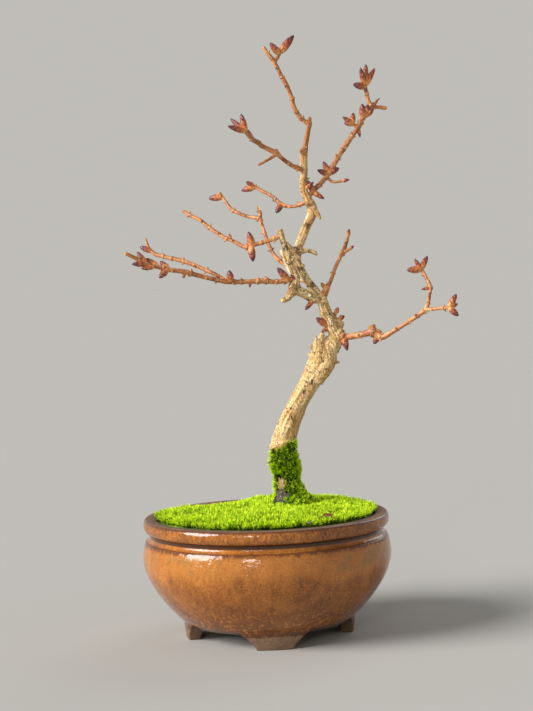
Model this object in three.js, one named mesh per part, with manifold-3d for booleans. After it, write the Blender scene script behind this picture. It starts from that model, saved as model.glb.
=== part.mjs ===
// A small bonsai in bud: a leafless young tree rooted in a round glazed pot, with moss over the soil.
// Millimetres, +Z up. Every place below is taken from the pot's own axis, with the table at z = 0, and
// the last lines move the whole group so that its box stands centred on the origin.

import * as THREE from "three";
import { mergeVertices } from "three/addons/utils/BufferGeometryUtils.js";
import Module from "manifold-3d";

const wasm = await Module();
wasm.setup();

// ---------- Driving dimensions ----------

const GAP = 0.3; // clearance between pieces that touch
const POT_HEIGHT = 74;
const RIM_RADIUS = 75;
const BELLY_RADIUS = 76.4;
const BELLY_HEIGHT = 50;
const MOUTH_RADIUS = 67.2;
const FOOT_HEIGHT = 10.6;
const FLOOR_BELOW = 9; // underside of the pot's floor
const FLOOR_ABOVE = 15.5; // inside of the pot's floor
const FLOOR_RADIUS = 46;
const POT_SEGMENTS = 48;

const FOOT_TURN = 3; // degrees that the front foot is turned towards +X
const FOOT_OUTER_RADIUS = 51.4;
const FOOT_INNER_RADIUS = 43.6;
const FOOT_WIDTH = 23;
const FOOT_TOP_WIDTH = 42;

const DRAIN_RADIUS = 9;
const WIRE_HOLE_RADIUS = 2;
const WIRE_HOLE_X = 24;

const MESH_SIDE = 28;
const MESH_THICKNESS = 1.2;
const MESH_PITCH = 5;
const MESH_HOLE = 3.4;
const CLIP_RADIUS = 0.6;
const ANCHOR_RADIUS = 0.8;

const SOIL_EDGE_HEIGHT = 69;
const SOIL_CROWN_HEIGHT = 74.6;
const MOSS_EDGE_HEIGHT = 73.8;
const MOSS_CROWN_HEIGHT = 79;
const MOSS_CROWN_RADIUS = 38;
const BARE_STRIP = 11; // how far the moss stays from the wall along the bare soil
const BARE_STRIP_AZIMUTH = 128; // degrees
const BARE_STRIP_SPREAD = 15; // degrees

const TRUNK_SIDES = 10;
const LIMB_SIDES = 6;
const WIRE_SIDES = 6;
const BUD_SIDES = 6;
const LIMB_STEP = 5; // length of tube between two rings

const COLOURS = {
  glaze: 0x9a6032,
  soil: 0x3c2b1e,
  moss: 0x9ccb1c,
  bark: 0xc9a468,
  twig: 0xa9683c,
  deadwood: 0xd9c49c,
  bud: 0x7a3b2a,
  plastic: 0x26282a,
  wire: 0xb9bcc0,
};

// ---------- Working with solids ----------

// A closed geometry as a manifold-3d solid. Triangles that shrink to a line on an axis are dropped.
function toSolid(geometry) {
  const bare = geometry.clone();
  bare.deleteAttribute("normal");
  bare.deleteAttribute("uv");
  const merged = mergeVertices(bare, 1e-4);
  const corners = merged.index.array;
  const kept = [];
  for (let i = 0; i < corners.length; i += 3) {
    const [a, b, c] = corners.slice(i, i + 3);
    if (a !== b && b !== c && c !== a) kept.push(a, b, c);
  }
  const vertProperties = merged.attributes.position.array;
  const triVerts = new Uint32Array(kept);
  return new wasm.Manifold(new wasm.Mesh({ numProp: 3, vertProperties, triVerts }));
}

function toGeometry(solid) {
  const mesh = solid.getMesh();
  const geometry = new THREE.BufferGeometry();
  geometry.setAttribute("position", new THREE.BufferAttribute(mesh.vertProperties, 3));
  geometry.setIndex(new THREE.BufferAttribute(mesh.triVerts, 1));
  geometry.computeVertexNormals();
  return geometry;
}

function joined(solids) {
  return solids.reduce((whole, solid) => whole.add(solid));
}

function without(solid, cutters) {
  return cutters.reduce((rest, cutter) => rest.subtract(cutter), solid);
}

// An outline of radius and height, turned about the vertical axis.
function turned(outline, segments = POT_SEGMENTS) {
  const geometry = new THREE.LatheGeometry(outline, segments);
  geometry.rotateX(Math.PI / 2);
  return toSolid(geometry);
}

function upright(radius, from, to, x = 0, y = 0) {
  const geometry = new THREE.CylinderGeometry(radius, radius, to - from, 16);
  geometry.rotateX(Math.PI / 2);
  geometry.translate(x, y, (from + to) / 2);
  return toSolid(geometry);
}

function block(width, depth, from, to) {
  const geometry = new THREE.BoxGeometry(width, depth, to - from);
  geometry.translate(0, 0, (from + to) / 2);
  return toSolid(geometry);
}

// A closed tube round a row of centres, with a radius at each and a blunt cap at both ends.
function tube(centres, radii, sides, capRise = 0.5) {
  const count = centres.length;
  const positions = [];
  let across = new THREE.Vector3(0.31, 0.87, 0.38);
  for (let i = 0; i < count; i++) {
    const before = centres[Math.max(i - 1, 0)];
    const after = centres[Math.min(i + 1, count - 1)];
    const along = after.clone().sub(before).normalize();
    across = across.clone().addScaledVector(along, -across.dot(along)).normalize();
    const other = along.clone().cross(across);
    for (let side = 0; side < sides; side++) {
      const angle = (2 * Math.PI * side) / sides;
      const spoke = across.clone().multiplyScalar(Math.cos(angle));
      spoke.addScaledVector(other, Math.sin(angle)).multiplyScalar(radii[i]);
      positions.push(...spoke.add(centres[i]).toArray());
    }
  }
  const startPole = count * sides;
  const endPole = startPole + 1;
  for (const [end, neighbour] of [[0, 1], [count - 1, count - 2]]) {
    const outward = centres[end].clone().sub(centres[neighbour]).normalize();
    positions.push(...outward.multiplyScalar(capRise * radii[end]).add(centres[end]).toArray());
  }
  const faces = [];
  for (let side = 0; side < sides; side++) {
    const next = (side + 1) % sides;
    for (let ring = 0; ring < count - 1; ring++) {
      const low = ring * sides;
      const high = low + sides;
      faces.push(low + side, low + next, high + next);
      faces.push(low + side, high + next, high + side);
    }
    const last = (count - 1) * sides;
    faces.push(startPole, next, side);
    faces.push(endPole, last + side, last + next);
  }
  const geometry = new THREE.BufferGeometry();
  geometry.setAttribute("position", new THREE.Float32BufferAttribute(positions, 3));
  geometry.setIndex(faces);
  return toSolid(geometry);
}

// A limb follows its route smoothly. Each point of a route is [x, y, z, radius].
function limb(route, extra = 0, sides = LIMB_SIDES) {
  const places = route.map(([x, y, z]) => new THREE.Vector3(x, y, z));
  const curve = new THREE.CatmullRomCurve3(places, false, "centripetal");
  const steps = Math.max(route.length, Math.ceil(curve.getLength() / LIMB_STEP));
  const centres = [];
  const radii = [];
  for (let step = 0; step <= steps; step++) {
    const place = (step / steps) * (route.length - 1);
    const leg = Math.min(Math.floor(place), route.length - 2);
    const radius = THREE.MathUtils.lerp(route[leg][3], route[leg + 1][3], place - leg);
    centres.push(curve.getPoint(step / steps));
    radii.push(radius + extra);
  }
  return tube(centres, radii, sides);
}

// A wire runs straight between its corners and bends round each one.
function wire(corners, radius, bend) {
  const centres = [corners[0]];
  for (let i = 1; i < corners.length - 1; i++) {
    const from = corners[i - 1].clone().sub(corners[i]).setLength(bend).add(corners[i]);
    const to = corners[i + 1].clone().sub(corners[i]).setLength(bend).add(corners[i]);
    centres.push(...new THREE.QuadraticBezierCurve3(from, corners[i], to).getPoints(3));
  }
  centres.push(corners[corners.length - 1]);
  return tube(centres, centres.map(() => radius), WIRE_SIDES, 0);
}

// ---------- Assembling ----------

const bonsai = new THREE.Group();

function addPiece(name, solid, colour, roughness = 0.8) {
  const material = new THREE.MeshStandardMaterial({ color: colour, roughness, metalness: 0 });
  const mesh = new THREE.Mesh(toGeometry(solid), material);
  mesh.name = name;
  bonsai.add(mesh);
  return mesh;
}

// ---------- Pot ----------

function addOuterWall(path) {
  path.bezierCurveTo(62, 19, BELLY_RADIUS, 36, BELLY_RADIUS, BELLY_HEIGHT);
  path.bezierCurveTo(BELLY_RADIUS, 54, 75.6, 57.5, 74.3, 60);
  path.lineTo(73.2, 60.8);
  path.bezierCurveTo(71.4, 61.8, 71.4, 65, 73.4, 65.8);
  path.bezierCurveTo(RIM_RADIUS + 1, 66.8, RIM_RADIUS + 1, 73, RIM_RADIUS - 1.6, POT_HEIGHT);
}

// The inside of the wall from the mouth down to the floor, moved towards the axis by `inset`.
function addInnerWall(path, inset, mouthHeight) {
  path.lineTo(MOUTH_RADIUS - inset, mouthHeight);
  path.bezierCurveTo(MOUTH_RADIUS - inset, 66, 70.2 - inset, 60, 70.2 - inset, 47);
  path.bezierCurveTo(70.2 - inset, 34, 58 - inset, 20, FLOOR_RADIUS - inset, FLOOR_ABOVE + inset);
  path.lineTo(0, FLOOR_ABOVE + inset);
}

function potBody() {
  const outline = new THREE.Path();
  outline.moveTo(0, FLOOR_BELOW);
  outline.lineTo(FOOT_OUTER_RADIUS - 1, FLOOR_BELOW);
  outline.lineTo(FOOT_OUTER_RADIUS + 0.9, FOOT_HEIGHT);
  addOuterWall(outline);
  addInnerWall(outline, 0, POT_HEIGHT);
  return turned(outline.getPoints(3));
}

// Each foot is a piece of one ring, cut to a bracket shape that widens up into the pot.
function feet() {
  const ring = new THREE.Path();
  ring.moveTo(FOOT_INNER_RADIUS, 0);
  ring.lineTo(FOOT_OUTER_RADIUS, 0);
  ring.lineTo(FOOT_OUTER_RADIUS + 1.6, FOOT_HEIGHT);
  ring.lineTo(FOOT_INNER_RADIUS, FOOT_HEIGHT);
  ring.lineTo(FOOT_INNER_RADIUS, 0);

  const bracket = new THREE.Shape();
  const foot = FOOT_WIDTH / 2;
  const top = FOOT_TOP_WIDTH / 2;
  bracket.moveTo(-foot, 0);
  bracket.lineTo(foot, 0);
  bracket.bezierCurveTo(foot + 0.4, 5, foot + 3, FOOT_HEIGHT - 3, top, FOOT_HEIGHT - 1.4);
  bracket.lineTo(top, FOOT_HEIGHT);
  bracket.lineTo(-top, FOOT_HEIGHT);
  bracket.lineTo(-top, FOOT_HEIGHT - 1.4);
  bracket.bezierCurveTo(-foot - 3, FOOT_HEIGHT - 3, -foot - 0.4, 5, -foot, 0);

  const brackets = [0, 1, 2, 3].map((quarter) => {
    const settings = { depth: FOOT_OUTER_RADIUS + 10, bevelEnabled: false, curveSegments: 4 };
    const geometry = new THREE.ExtrudeGeometry(bracket, settings);
    geometry.rotateX(Math.PI / 2);
    geometry.rotateZ(THREE.MathUtils.degToRad(FOOT_TURN + 90 * quarter));
    return toSolid(geometry);
  });
  return turned(ring.getPoints()).intersect(joined(brackets));
}

function pot() {
  const holes = [
    upright(DRAIN_RADIUS, 0, POT_HEIGHT),
    upright(WIRE_HOLE_RADIUS, 0, POT_HEIGHT, WIRE_HOLE_X),
    upright(WIRE_HOLE_RADIUS, 0, POT_HEIGHT, -WIRE_HOLE_X),
  ];
  return without(potBody().add(feet()), holes);
}

addPiece("pot", pot(), COLOURS.glaze, 0.25);

// ---------- Drain mesh and wires ----------

const meshBottom = FLOOR_ABOVE + GAP;
const meshTop = meshBottom + MESH_THICKNESS;

function drainMesh() {
  const sheet = block(MESH_SIDE, MESH_SIDE, meshBottom, meshTop);
  const openings = [];
  for (let column = -2; column <= 2; column++) {
    for (let row = -2; row <= 2; row++) {
      const opening = block(MESH_HOLE, MESH_HOLE, FLOOR_BELOW, POT_HEIGHT);
      openings.push(opening.translate(column * MESH_PITCH, row * MESH_PITCH, 0));
    }
  }
  return without(sheet, openings);
}

// A staple through the mesh, with its two legs bent outwards under the floor.
function meshClip(extra = 0) {
  const under = FLOOR_BELOW - GAP - CLIP_RADIUS;
  const over = meshTop + GAP + CLIP_RADIUS;
  const corners = [
    new THREE.Vector3(0, -14, under),
    new THREE.Vector3(0, -MESH_PITCH, under),
    new THREE.Vector3(0, -MESH_PITCH, over),
    new THREE.Vector3(0, MESH_PITCH, over),
    new THREE.Vector3(0, MESH_PITCH, under),
    new THREE.Vector3(0, 14, under),
  ];
  return wire(corners, CLIP_RADIUS + extra, 1.2);
}

// The wire that holds the root ball down: under the floor, and up into the soil at both ends.
function anchorWire(extra = 0) {
  const under = FLOOR_BELOW - GAP - ANCHOR_RADIUS;
  const corners = [
    new THREE.Vector3(-14, 0, 54),
    new THREE.Vector3(-WIRE_HOLE_X, 0, 40),
    new THREE.Vector3(-WIRE_HOLE_X, 0, under),
    new THREE.Vector3(WIRE_HOLE_X, 0, under),
    new THREE.Vector3(WIRE_HOLE_X, 0, 40),
    new THREE.Vector3(14, 0, 54),
  ];
  return wire(corners, ANCHOR_RADIUS + extra, 2);
}

addPiece("drain_mesh", drainMesh(), COLOURS.plastic);
addPiece("mesh_clip", meshClip(), COLOURS.wire, 0.4);
addPiece("anchor_wire", anchorWire(), COLOURS.wire, 0.4);

// ---------- Wood ----------

// Every limb's routes, oldest wood first. `meets` names the limbs that its base is fitted against.
const LIMBS = {
  trunk: {
    colour: COLOURS.bark,
    sides: TRUNK_SIDES,
    routes: [
      [
        [16, 10.5, 68, 9.5], [15.5, 10, 78, 9.2], [14.5, 9.5, 90, 7.4], [13, 8.6, 104, 6.9],
        [12.2, 8, 115, 7.4], [15, 7.4, 124.5, 7.3], [21.5, 6.3, 139, 6.2], [29, 4.3, 152, 6.1],
        [36.5, 2, 166, 7.2], [42.5, 0, 176, 7.5], [46, -1.6, 183.5, 6], [45.2, -2.4, 189.5, 4.2],
        [41.5, -3.4, 198, 3.4], [38.6, -4, 205.5, 3],
      ],
      [[11, 8, 115.5, 6], [8.5, 7.8, 119.5, 4.6]],
      [[43, 0, 178, 5], [38.5, -3, 182.5, 3.4], [37, -4, 187, 2.3]],
      [[44, -1, 170, 5], [46.5, -2.5, 169.5, 3.2]],
      [[46, -1.5, 186, 4], [50.5, -2, 188.5, 2.4]],
      [[13, 7, 74, 5.5], [-4, -4, 66, 3.5], [-20, -16, 52, 2]],
      [[20, 7, 74, 5.5], [36, -6, 64, 3.4], [46, -16, 50, 1.8]],
      [[20, 14, 73, 5], [31, 28, 62, 3.2], [37, 37, 48, 1.8]],
      [[12, 13, 73, 5], [-4, 26, 62, 3], [-14, 35, 48, 1.6]],
    ],
  },
  leader: {
    colour: COLOURS.bark,
    sides: 8,
    meets: ["trunk"],
    routes: [
      [
        [39, -4, 205.2, 1.6], [35.2, -2.8, 210, 2.4], [29.2, -2.2, 218, 2.4], [24.8, -1, 227, 2.6],
        [24.4, 0.4, 232.5, 2.9], [26.2, 1.3, 237.5, 2.5], [30.8, 2.7, 248.5, 2.5],
        [35.4, 3.8, 258.5, 2.8], [33, 4, 265.5, 2.5], [30.6, 3.9, 272, 2.1], [31, 3.1, 284, 2],
        [31.1, 2.2, 292.5, 2.2], [32.2, 1.6, 298, 1.6], [34.2, 0.5, 308, 1.4], [35, 0, 311.5, 1.5],
        [35.6, 0, 315.5, 0.9],
      ],
      [[25, 0, 233.6, 1.8], [31.6, 0, 235.2, 1.3]],
    ],
  },
  knee_limb: {
    colour: COLOURS.bark,
    sides: 8,
    meets: ["trunk", "leader"],
    routes: [
      [
        [39.5, -4, 204.5, 1.6], [34.5, -5.6, 205.2, 2.4], [28.5, -7, 208.3, 2.5],
        [24, -8.6, 211, 2.6], [22.6, -9.2, 215.5, 2.5], [23.4, -8.6, 220, 2.3],
      ],
      [[22.5, -9.6, 211, 2.2], [19, -10.2, 207.8, 1.6], [15, -12, 204.4, 1]],
    ],
  },
  blunt_limb: {
    colour: COLOURS.bark,
    meets: ["knee_limb"],
    routes: [
      [
        [23.5, -8.5, 218.6, 1.2], [22.6, -8.8, 221.6, 2.2], [20.2, -9.5, 227.5, 2], [17.4, -11, 237, 1.9],
        [15.2, -12.4, 244.5, 1.7], [14.4, -12.8, 247, 1.4],
      ],
    ],
  },
  rear_limb: {
    colour: COLOURS.deadwood,
    meets: ["leader"],
    routes: [
      [[29.5, -2.4, 216.5, 1.8], [24.2, 2.4, 218.5, 1.7], [19.1, 5.4, 225, 1.6], [15.8, 7.6, 235, 1.3]],
    ],
  },
  rear_branch: {
    colour: COLOURS.deadwood,
    meets: ["rear_limb"],
    routes: [
      [
        [18.5, 6, 226, 1.1], [13, 10, 230.5, 1.2], [10.2, 12.5, 234.5, 1.1], [7.4, 14.8, 241, 1.1],
        [4.2, 19, 252, 1], [3, 21, 256, 1.3], [-4.2, 25.2, 257.6, 1], [-13.5, 29.6, 262, 1],
        [-17.8, 33.8, 267.6, 0.9], [-20.4, 36, 271.4, 0.9],
      ],
      [[3, 21, 255.5, 1], [3.6, 21.6, 259.5, 0.9], [1.8, 22, 262.5, 0.6]],
    ],
  },
  crooked_branch: {
    colour: COLOURS.twig,
    meets: ["blunt_limb"],
    routes: [
      [
        [15.6, -12.3, 244, 1.3], [8.5, -12.6, 241.5, 1.2], [-0.8, -12.4, 239.2, 1.2],
        [-3.4, -12.2, 237.9, 1.5], [-8, -10.4, 238.4, 1.2], [-12.8, -8, 241.3, 1.1],
        [-20.6, -4.4, 245.4, 1.1], [-29, -0.6, 251.5, 1.1], [-33.8, 1.6, 255.8, 1.1],
        [-38.6, 4, 258.2, 1], [-44, 7, 261.8, 0.9],
      ],
    ],
  },
  lower_left_branch: {
    colour: COLOURS.twig,
    meets: ["knee_limb"],
    routes: [
      [
        [22.6, -9.4, 218, 1.6], [16.6, -11.6, 216.7, 1.5], [10.5, -13.2, 216.3, 1.4],
        [4.5, -14.8, 217.2, 1.7], [-4.6, -17, 217.1, 1.4], [-15.4, -20.2, 217.2, 1.4],
        [-22, -22, 218.2, 1.4], [-34, -25.2, 221.4, 1.3], [-43, -28, 224.2, 1.4],
        [-53, -30.4, 226, 1.2], [-63.4, -33, 229, 1.1], [-72, -35.4, 233.5, 1], [-77.5, -38, 236.4, 1],
      ],
    ],
  },
  lower_left_fork: {
    colour: COLOURS.twig,
    meets: ["lower_left_branch"],
    routes: [
      [
        [-18.6, -20.8, 217.6, 1.2], [-25.5, -17.6, 222.2, 1.2], [-34.5, -13.6, 226.6, 1.1],
        [-44, -10, 230.6, 1.3], [-55.6, -6.6, 233.8, 1.1], [-61.2, -3.8, 235.6, 1.2],
        [-64.4, -2, 238, 1],
      ],
    ],
  },
  small_left_twig: {
    colour: COLOURS.twig,
    meets: ["leader"],
    routes: [
      [
        [32.5, 4, 264.5, 1.3], [27, 6, 262.6, 1], [21.8, 8.4, 262.2, 1], [16.4, 11.2, 264, 1.3],
        [11, 14.2, 269.3, 1], [5, 17.1, 272.9, 1], [0.2, 20, 276, 0.9],
      ],
    ],
  },
  upper_left_branch: {
    colour: COLOURS.twig,
    meets: ["leader"],
    routes: [
      [
        [31, 3, 283.6, 1.4], [23.6, -2, 286.7, 1.3], [16.4, -6.6, 292, 1.3], [14.4, -8.2, 293.9, 1.6],
        [5.6, -12.2, 298.4, 1.3], [3.8, -13.8, 300.1, 1.5], [-0.3, -16.2, 302.5, 1.3],
        [-4.3, -20, 307.1, 1.2],
      ],
      [[13.9, -8.6, 293, 1], [8.3, -12.6, 289.6, 0.8], [2.8, -16, 286.6, 0.6]],
    ],
  },
  upper_right_branch: {
    colour: COLOURS.twig,
    meets: ["leader"],
    routes: [
      [
        [32.4, 4, 266.8, 1.6], [36.8, 6.2, 271.6, 1.5], [42, 8.2, 276.6, 1.5], [46.4, 9.8, 282, 1.6],
        [53.2, 12.5, 292.4, 1.4], [57.8, 14.6, 299.2, 1.8], [63.9, 16.8, 307.2, 1.4],
        [66, 17.8, 310, 1.7], [70, 19.9, 316.5, 1.4], [74.6, 22, 322.1, 1.5],
        [73, 21.6, 327.7, 1.2], [71, 20, 337, 1.1],
      ],
      [[74, 22, 322, 1.2], [83.6, 24, 322, 0.9]],
      [[45, 9.4, 279.6, 1], [48.8, 8.4, 276.4, 0.9], [54.7, 4, 276.5, 0.9]],
      [[66, 17.8, 310, 1.1], [62, 17.2, 312.6, 0.9]],
    ],
  },
  apex_branch: {
    colour: COLOURS.twig,
    meets: ["leader"],
    routes: [
      [
        [35.2, 0, 311.2, 1.3], [29.5, -1.2, 316, 1.3], [26, -2.5, 322, 1.4], [24.4, -3.7, 329, 1.1],
        [21, -5, 337, 1.3], [18.8, -5.6, 341.3, 1.1], [14.8, -6.8, 349.2, 1.2],
        [10.8, -7.4, 355, 1], [8.8, -8, 357.6, 0.7],
      ],
      [[15, -6.8, 349, 1.1], [18, -6, 353.6, 1]],
    ],
  },
  right_middle_twig: {
    colour: COLOURS.twig,
    meets: ["trunk", "leader"],
    routes: [
      [
        [39.4, -3.4, 205.6, 1.4], [41.2, 0, 209.8, 1.3], [44.6, 4, 214.5, 1.2], [48, 8, 222.8, 1.1],
        [52.3, 12, 230.8, 1.1], [53.8, 14, 232.6, 1.4], [57.6, 19.6, 243, 0.9],
      ],
      [[53.8, 14, 232.6, 1], [58.4, 12.6, 235, 0.8]],
    ],
  },
  right_branch: {
    colour: COLOURS.twig,
    meets: ["trunk"],
    routes: [
      [
        [46, -2.6, 182, 2.4], [54, -6, 181.3, 1.9], [62, -9.8, 182.4, 1.8], [68.4, -12.4, 183.6, 2.2],
        [73.8, -15.4, 180.6, 1.6], [78.6, -17.8, 182.7, 1.3], [90.5, -22, 190, 1.2],
        [100.6, -26, 196.8, 1.4],
      ],
      [[68.6, -12.2, 183.4, 2], [67.6, -12, 190.4, 1.5]],
      [[69, -12.4, 183, 1.8], [71.4, -12.4, 179.2, 1.4]],
    ],
  },
  right_upper_fork: {
    colour: COLOURS.twig,
    meets: ["right_branch"],
    routes: [
      [
        [99.6, -25.6, 196, 1.1], [101.5, -24.2, 200, 1.1], [103.2, -21.6, 207.5, 1],
        [103.8, -20, 209.5, 1.3], [101.6, -17, 215.4, 1], [99, -14, 221.2, 1],
      ],
    ],
  },
  right_side_fork: {
    colour: COLOURS.twig,
    meets: ["right_branch", "right_upper_fork"],
    routes: [[[99.8, -25.8, 196.4, 1.1], [106, -30, 196.9, 1], [113.4, -34, 197.6, 1]]],
  },
};

function wholeLimb(name, extra = 0) {
  return joined(LIMBS[name].routes.map((route) => limb(route, extra, LIMBS[name].sides)));
}

const clearOf = {}; // each limb grown by the gap, for the pieces that fit against it
for (const [name, { colour, meets = [] }] of Object.entries(LIMBS)) {
  const parents = meets.map((parent) => clearOf[parent]);
  addPiece(name, without(wholeLimb(name), parents), colour);
  clearOf[name] = wholeLimb(name, GAP);
}

// ---------- Buds ----------

// Each bud: the limb it grows on, the place inside that limb where it starts, its tip and its radius.
const BUDS = {
  trunk_bud: ["trunk", [38, -3.6, 185.5], [33.2, -6.6, 191], 2],
  knee_bud: ["knee_limb", [34, -5.8, 205], [28.2, -8.8, 198.4], 1.2],
  apex_bud_left: ["apex_branch", [15.6, -6.8, 350.2], [12.4, -11, 359], 1.6],
  apex_bud_right: ["apex_branch", [17.8, -6, 353.2], [27, -4, 365.4], 1.8],
  upper_left_bud_top: ["upper_left_branch", [-4, -19.8, 306.8], [-6.3, -19, 317.6], 1.5],
  upper_left_bud_rear: ["upper_left_branch", [-4.2, -19.6, 307], [-13, -15.6, 315.2], 1.3],
  upper_left_bud_front: ["upper_left_branch", [-4, -20, 306.6], [-14.6, -25, 310], 1.4],
  upper_left_bud_inner: ["upper_left_branch", [-0.6, -16.4, 302.8], [-3, -13, 308.6], 1.2],
  upper_right_bud_low: ["upper_right_branch", [71.3, 20.3, 335], [63.6, 17, 336.6], 1.7],
  upper_right_bud_left: ["upper_right_branch", [71, 20, 336.4], [68.6, 17.6, 347], 1.4],
  upper_right_bud_top: ["upper_right_branch", [71.2, 20.2, 336.4], [72.6, 22.4, 349.5], 1.6],
  upper_right_bud_right: ["upper_right_branch", [71.4, 20, 335.8], [78.2, 23.4, 347], 1.4],
  node_bud_upper: ["upper_right_branch", [62.4, 17.2, 312.2], [63.4, 18.6, 319.4], 1.4],
  node_bud_left: ["upper_right_branch", [62.8, 17.2, 312], [56.4, 15, 316.8], 1.3],
  shoot_bud_tall: ["upper_right_branch", [69.6, 19.8, 316], [69, 17.4, 324.4], 1.5],
  mid_bud_upper: ["upper_right_branch", [46.4, 9.8, 282.2], [43.3, 11.4, 289.4], 1.5],
  mid_bud_left: ["upper_right_branch", [45.8, 9.6, 281.2], [39.2, 6.6, 284], 1.3],
  mid_bud_right: ["upper_right_branch", [46.2, 9.8, 281.8], [53, 7.8, 284.8], 1.5],
  fork_bud_upper: ["upper_right_branch", [36.2, 5.9, 271], [32.8, 1.6, 277.6], 1.4],
  fork_bud_lower: ["upper_right_branch", [36, 5.8, 270.8], [43, 2.8, 265.8], 1.2],
  small_left_bud_low: ["small_left_twig", [16.6, 11.2, 264], [13, 8.8, 258.4], 1.5],
  small_left_bud_tip: ["small_left_twig", [0.6, 19.8, 275.8], [-8, 21, 273.6], 1.6],
  crooked_bud_upper: ["crooked_branch", [-2.4, -12.2, 238.4], [-4.4, -12.4, 247.3], 1.7],
  crooked_bud_lower: ["crooked_branch", [-3.2, -12.2, 238], [-2.2, -14.2, 228.8], 1.7],
  rear_bud: ["rear_branch", [-20, 35.8, 271], [-28.8, 38, 270.2], 1.7],
  junction_bud: ["lower_left_branch", [18.6, -10.9, 217.1], [12, -12.8, 225], 1.7],
  lower_left_bud_1: ["lower_left_branch", [-16.1, -20.4, 217.3], [-16.8, -21.6, 224.4], 1.7],
  lower_left_bud_2: ["lower_left_branch", [-52.8, -30.4, 226], [-57.6, -27, 231.2], 1.5],
  lower_left_bud_3: ["lower_left_branch", [-53.2, -30.4, 226], [-58.4, -33.6, 221], 1.5],
  lower_left_bud_4: ["lower_left_branch", [-58.8, -31.8, 227.5], [-66, -29.6, 233.2], 1.5],
  lower_left_bud_5: ["lower_left_branch", [-66, -33.8, 230.2], [-71, -31.6, 237.2], 1.4],
  fork_tip_bud: ["lower_left_fork", [-64, -2.2, 237.7], [-71, -1, 240.6], 1.4],
  right_tip_bud_upper: ["right_upper_fork", [99, -14.2, 220.8], [103.6, -11, 228.8], 1.4],
  right_tip_bud_side: ["right_upper_fork", [99.2, -14.2, 220.7], [90, -16.4, 220.6], 1.7],
  side_tip_bud_upper: ["right_side_fork", [113, -33.8, 197.5], [117.6, -34, 205.4], 1.5],
  side_tip_bud_lower: ["right_side_fork", [113, -33.8, 197.5], [118, -37, 192.2], 1.5],
};

// One bud of unit height and radius, pointed at the tip and fullest below its middle.
function budOutline() {
  const outline = new THREE.Path();
  outline.moveTo(0, 0);
  outline.lineTo(0.5, 0.02);
  outline.bezierCurveTo(1.1, 0.3, 1.2, 0.5, 0, 1);
  return outline.getPoints(3);
}

function bud(start, tip, radius) {
  const from = new THREE.Vector3(...start);
  const along = new THREE.Vector3(...tip).sub(from);
  const geometry = new THREE.LatheGeometry(budOutline(), BUD_SIDES);
  geometry.scale(radius, along.length(), radius);
  const turn = new THREE.Quaternion().setFromUnitVectors(
    new THREE.Vector3(0, 1, 0),
    along.normalize(),
  );
  geometry.applyQuaternion(turn);
  geometry.translate(from.x, from.y, from.z);
  return toSolid(geometry);
}

const earlierBuds = {}; // the buds already made on each limb, grown by the gap
for (const [name, [host, start, tip, radius]] of Object.entries(BUDS)) {
  const neighbours = earlierBuds[host] ?? [];
  const solid = without(bud(start, tip, radius), [clearOf[host], ...neighbours]);
  addPiece(name, solid, COLOURS.bud, 0.5);
  earlierBuds[host] = [...neighbours, bud(start, tip, radius + GAP)];
}

// ---------- Soil ----------

function soil() {
  const outline = new THREE.Path();
  outline.moveTo(0, SOIL_CROWN_HEIGHT);
  outline.bezierCurveTo(30, SOIL_CROWN_HEIGHT, 56, 72, MOUTH_RADIUS - GAP, SOIL_EDGE_HEIGHT);
  addInnerWall(outline, GAP, SOIL_EDGE_HEIGHT - 1);
  const fill = turned(outline.getPoints(3).reverse(), 24);
  const side = MESH_SIDE + 2 * GAP;
  const meshRecess = block(side, side, FLOOR_ABOVE, meshTop + GAP);
  return without(fill, [meshRecess, meshClip(GAP), anchorWire(GAP), clearOf.trunk]);
}

addPiece("soil", soil(), COLOURS.soil, 1);

// ---------- Moss ----------

// The carpet's edge follows the wall, and draws back from it along one strip of bare soil.
function carpetOutline() {
  const segments = 48;
  const points = [];
  for (let i = 0; i < segments; i++) {
    const degrees = (360 * i) / segments;
    const away = (degrees - BARE_STRIP_AZIMUTH) / BARE_STRIP_SPREAD;
    const radius = MOUTH_RADIUS - 0.7 - BARE_STRIP * Math.exp(-(away ** 2));
    const angle = THREE.MathUtils.degToRad(degrees);
    points.push(new THREE.Vector2(radius * Math.cos(angle), radius * Math.sin(angle)));
  }
  return new THREE.Shape(points);
}

function mossCarpet() {
  const section = new THREE.Path();
  section.moveTo(0, SOIL_CROWN_HEIGHT + GAP);
  section.bezierCurveTo(30, SOIL_CROWN_HEIGHT + GAP, 56, 72 + GAP, MOUTH_RADIUS, SOIL_EDGE_HEIGHT + GAP);
  section.lineTo(MOUTH_RADIUS, MOSS_EDGE_HEIGHT);
  section.bezierCurveTo(60, 76, 54, MOSS_CROWN_HEIGHT, MOSS_CROWN_RADIUS, MOSS_CROWN_HEIGHT);
  section.lineTo(0, MOSS_CROWN_HEIGHT);
  const edge = new THREE.ExtrudeGeometry(carpetOutline(), { depth: 20, bevelEnabled: false });
  edge.translate(0, 0, 65);
  const dome = turned(section.getPoints(4), 24);
  return dome.intersect(toSolid(edge)).subtract(clearOf.trunk);
}

addPiece("moss_carpet", mossCarpet(), COLOURS.moss, 1);

// The moss climbs the foot of the trunk as a sleeve that stands on the carpet.
function mossSleeve() {
  const outside = limb(
    [
      [18, 8, 76, 18], [17, 8.8, 82, 14.5], [15.6, 9.2, 89, 11.2], [14.6, 8.8, 98, 9.8],
      [13.6, 8.4, 107, 9.8], [12.6, 8, 115, 8.8],
    ],
    0,
    16,
  );
  const belowCarpet = block(2 * RIM_RADIUS, 2 * RIM_RADIUS, 0, MOSS_CROWN_HEIGHT + GAP);
  return without(outside, [belowCarpet, clearOf.trunk]);
}

addPiece("moss_sleeve", mossSleeve(), COLOURS.moss, 1);

// ---------- Frame ----------

const box = new THREE.Box3().setFromObject(bonsai);
const middle = box.getCenter(new THREE.Vector3());
bonsai.position.set(-middle.x, -middle.y, -box.min.z);

export default bonsai;
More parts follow.
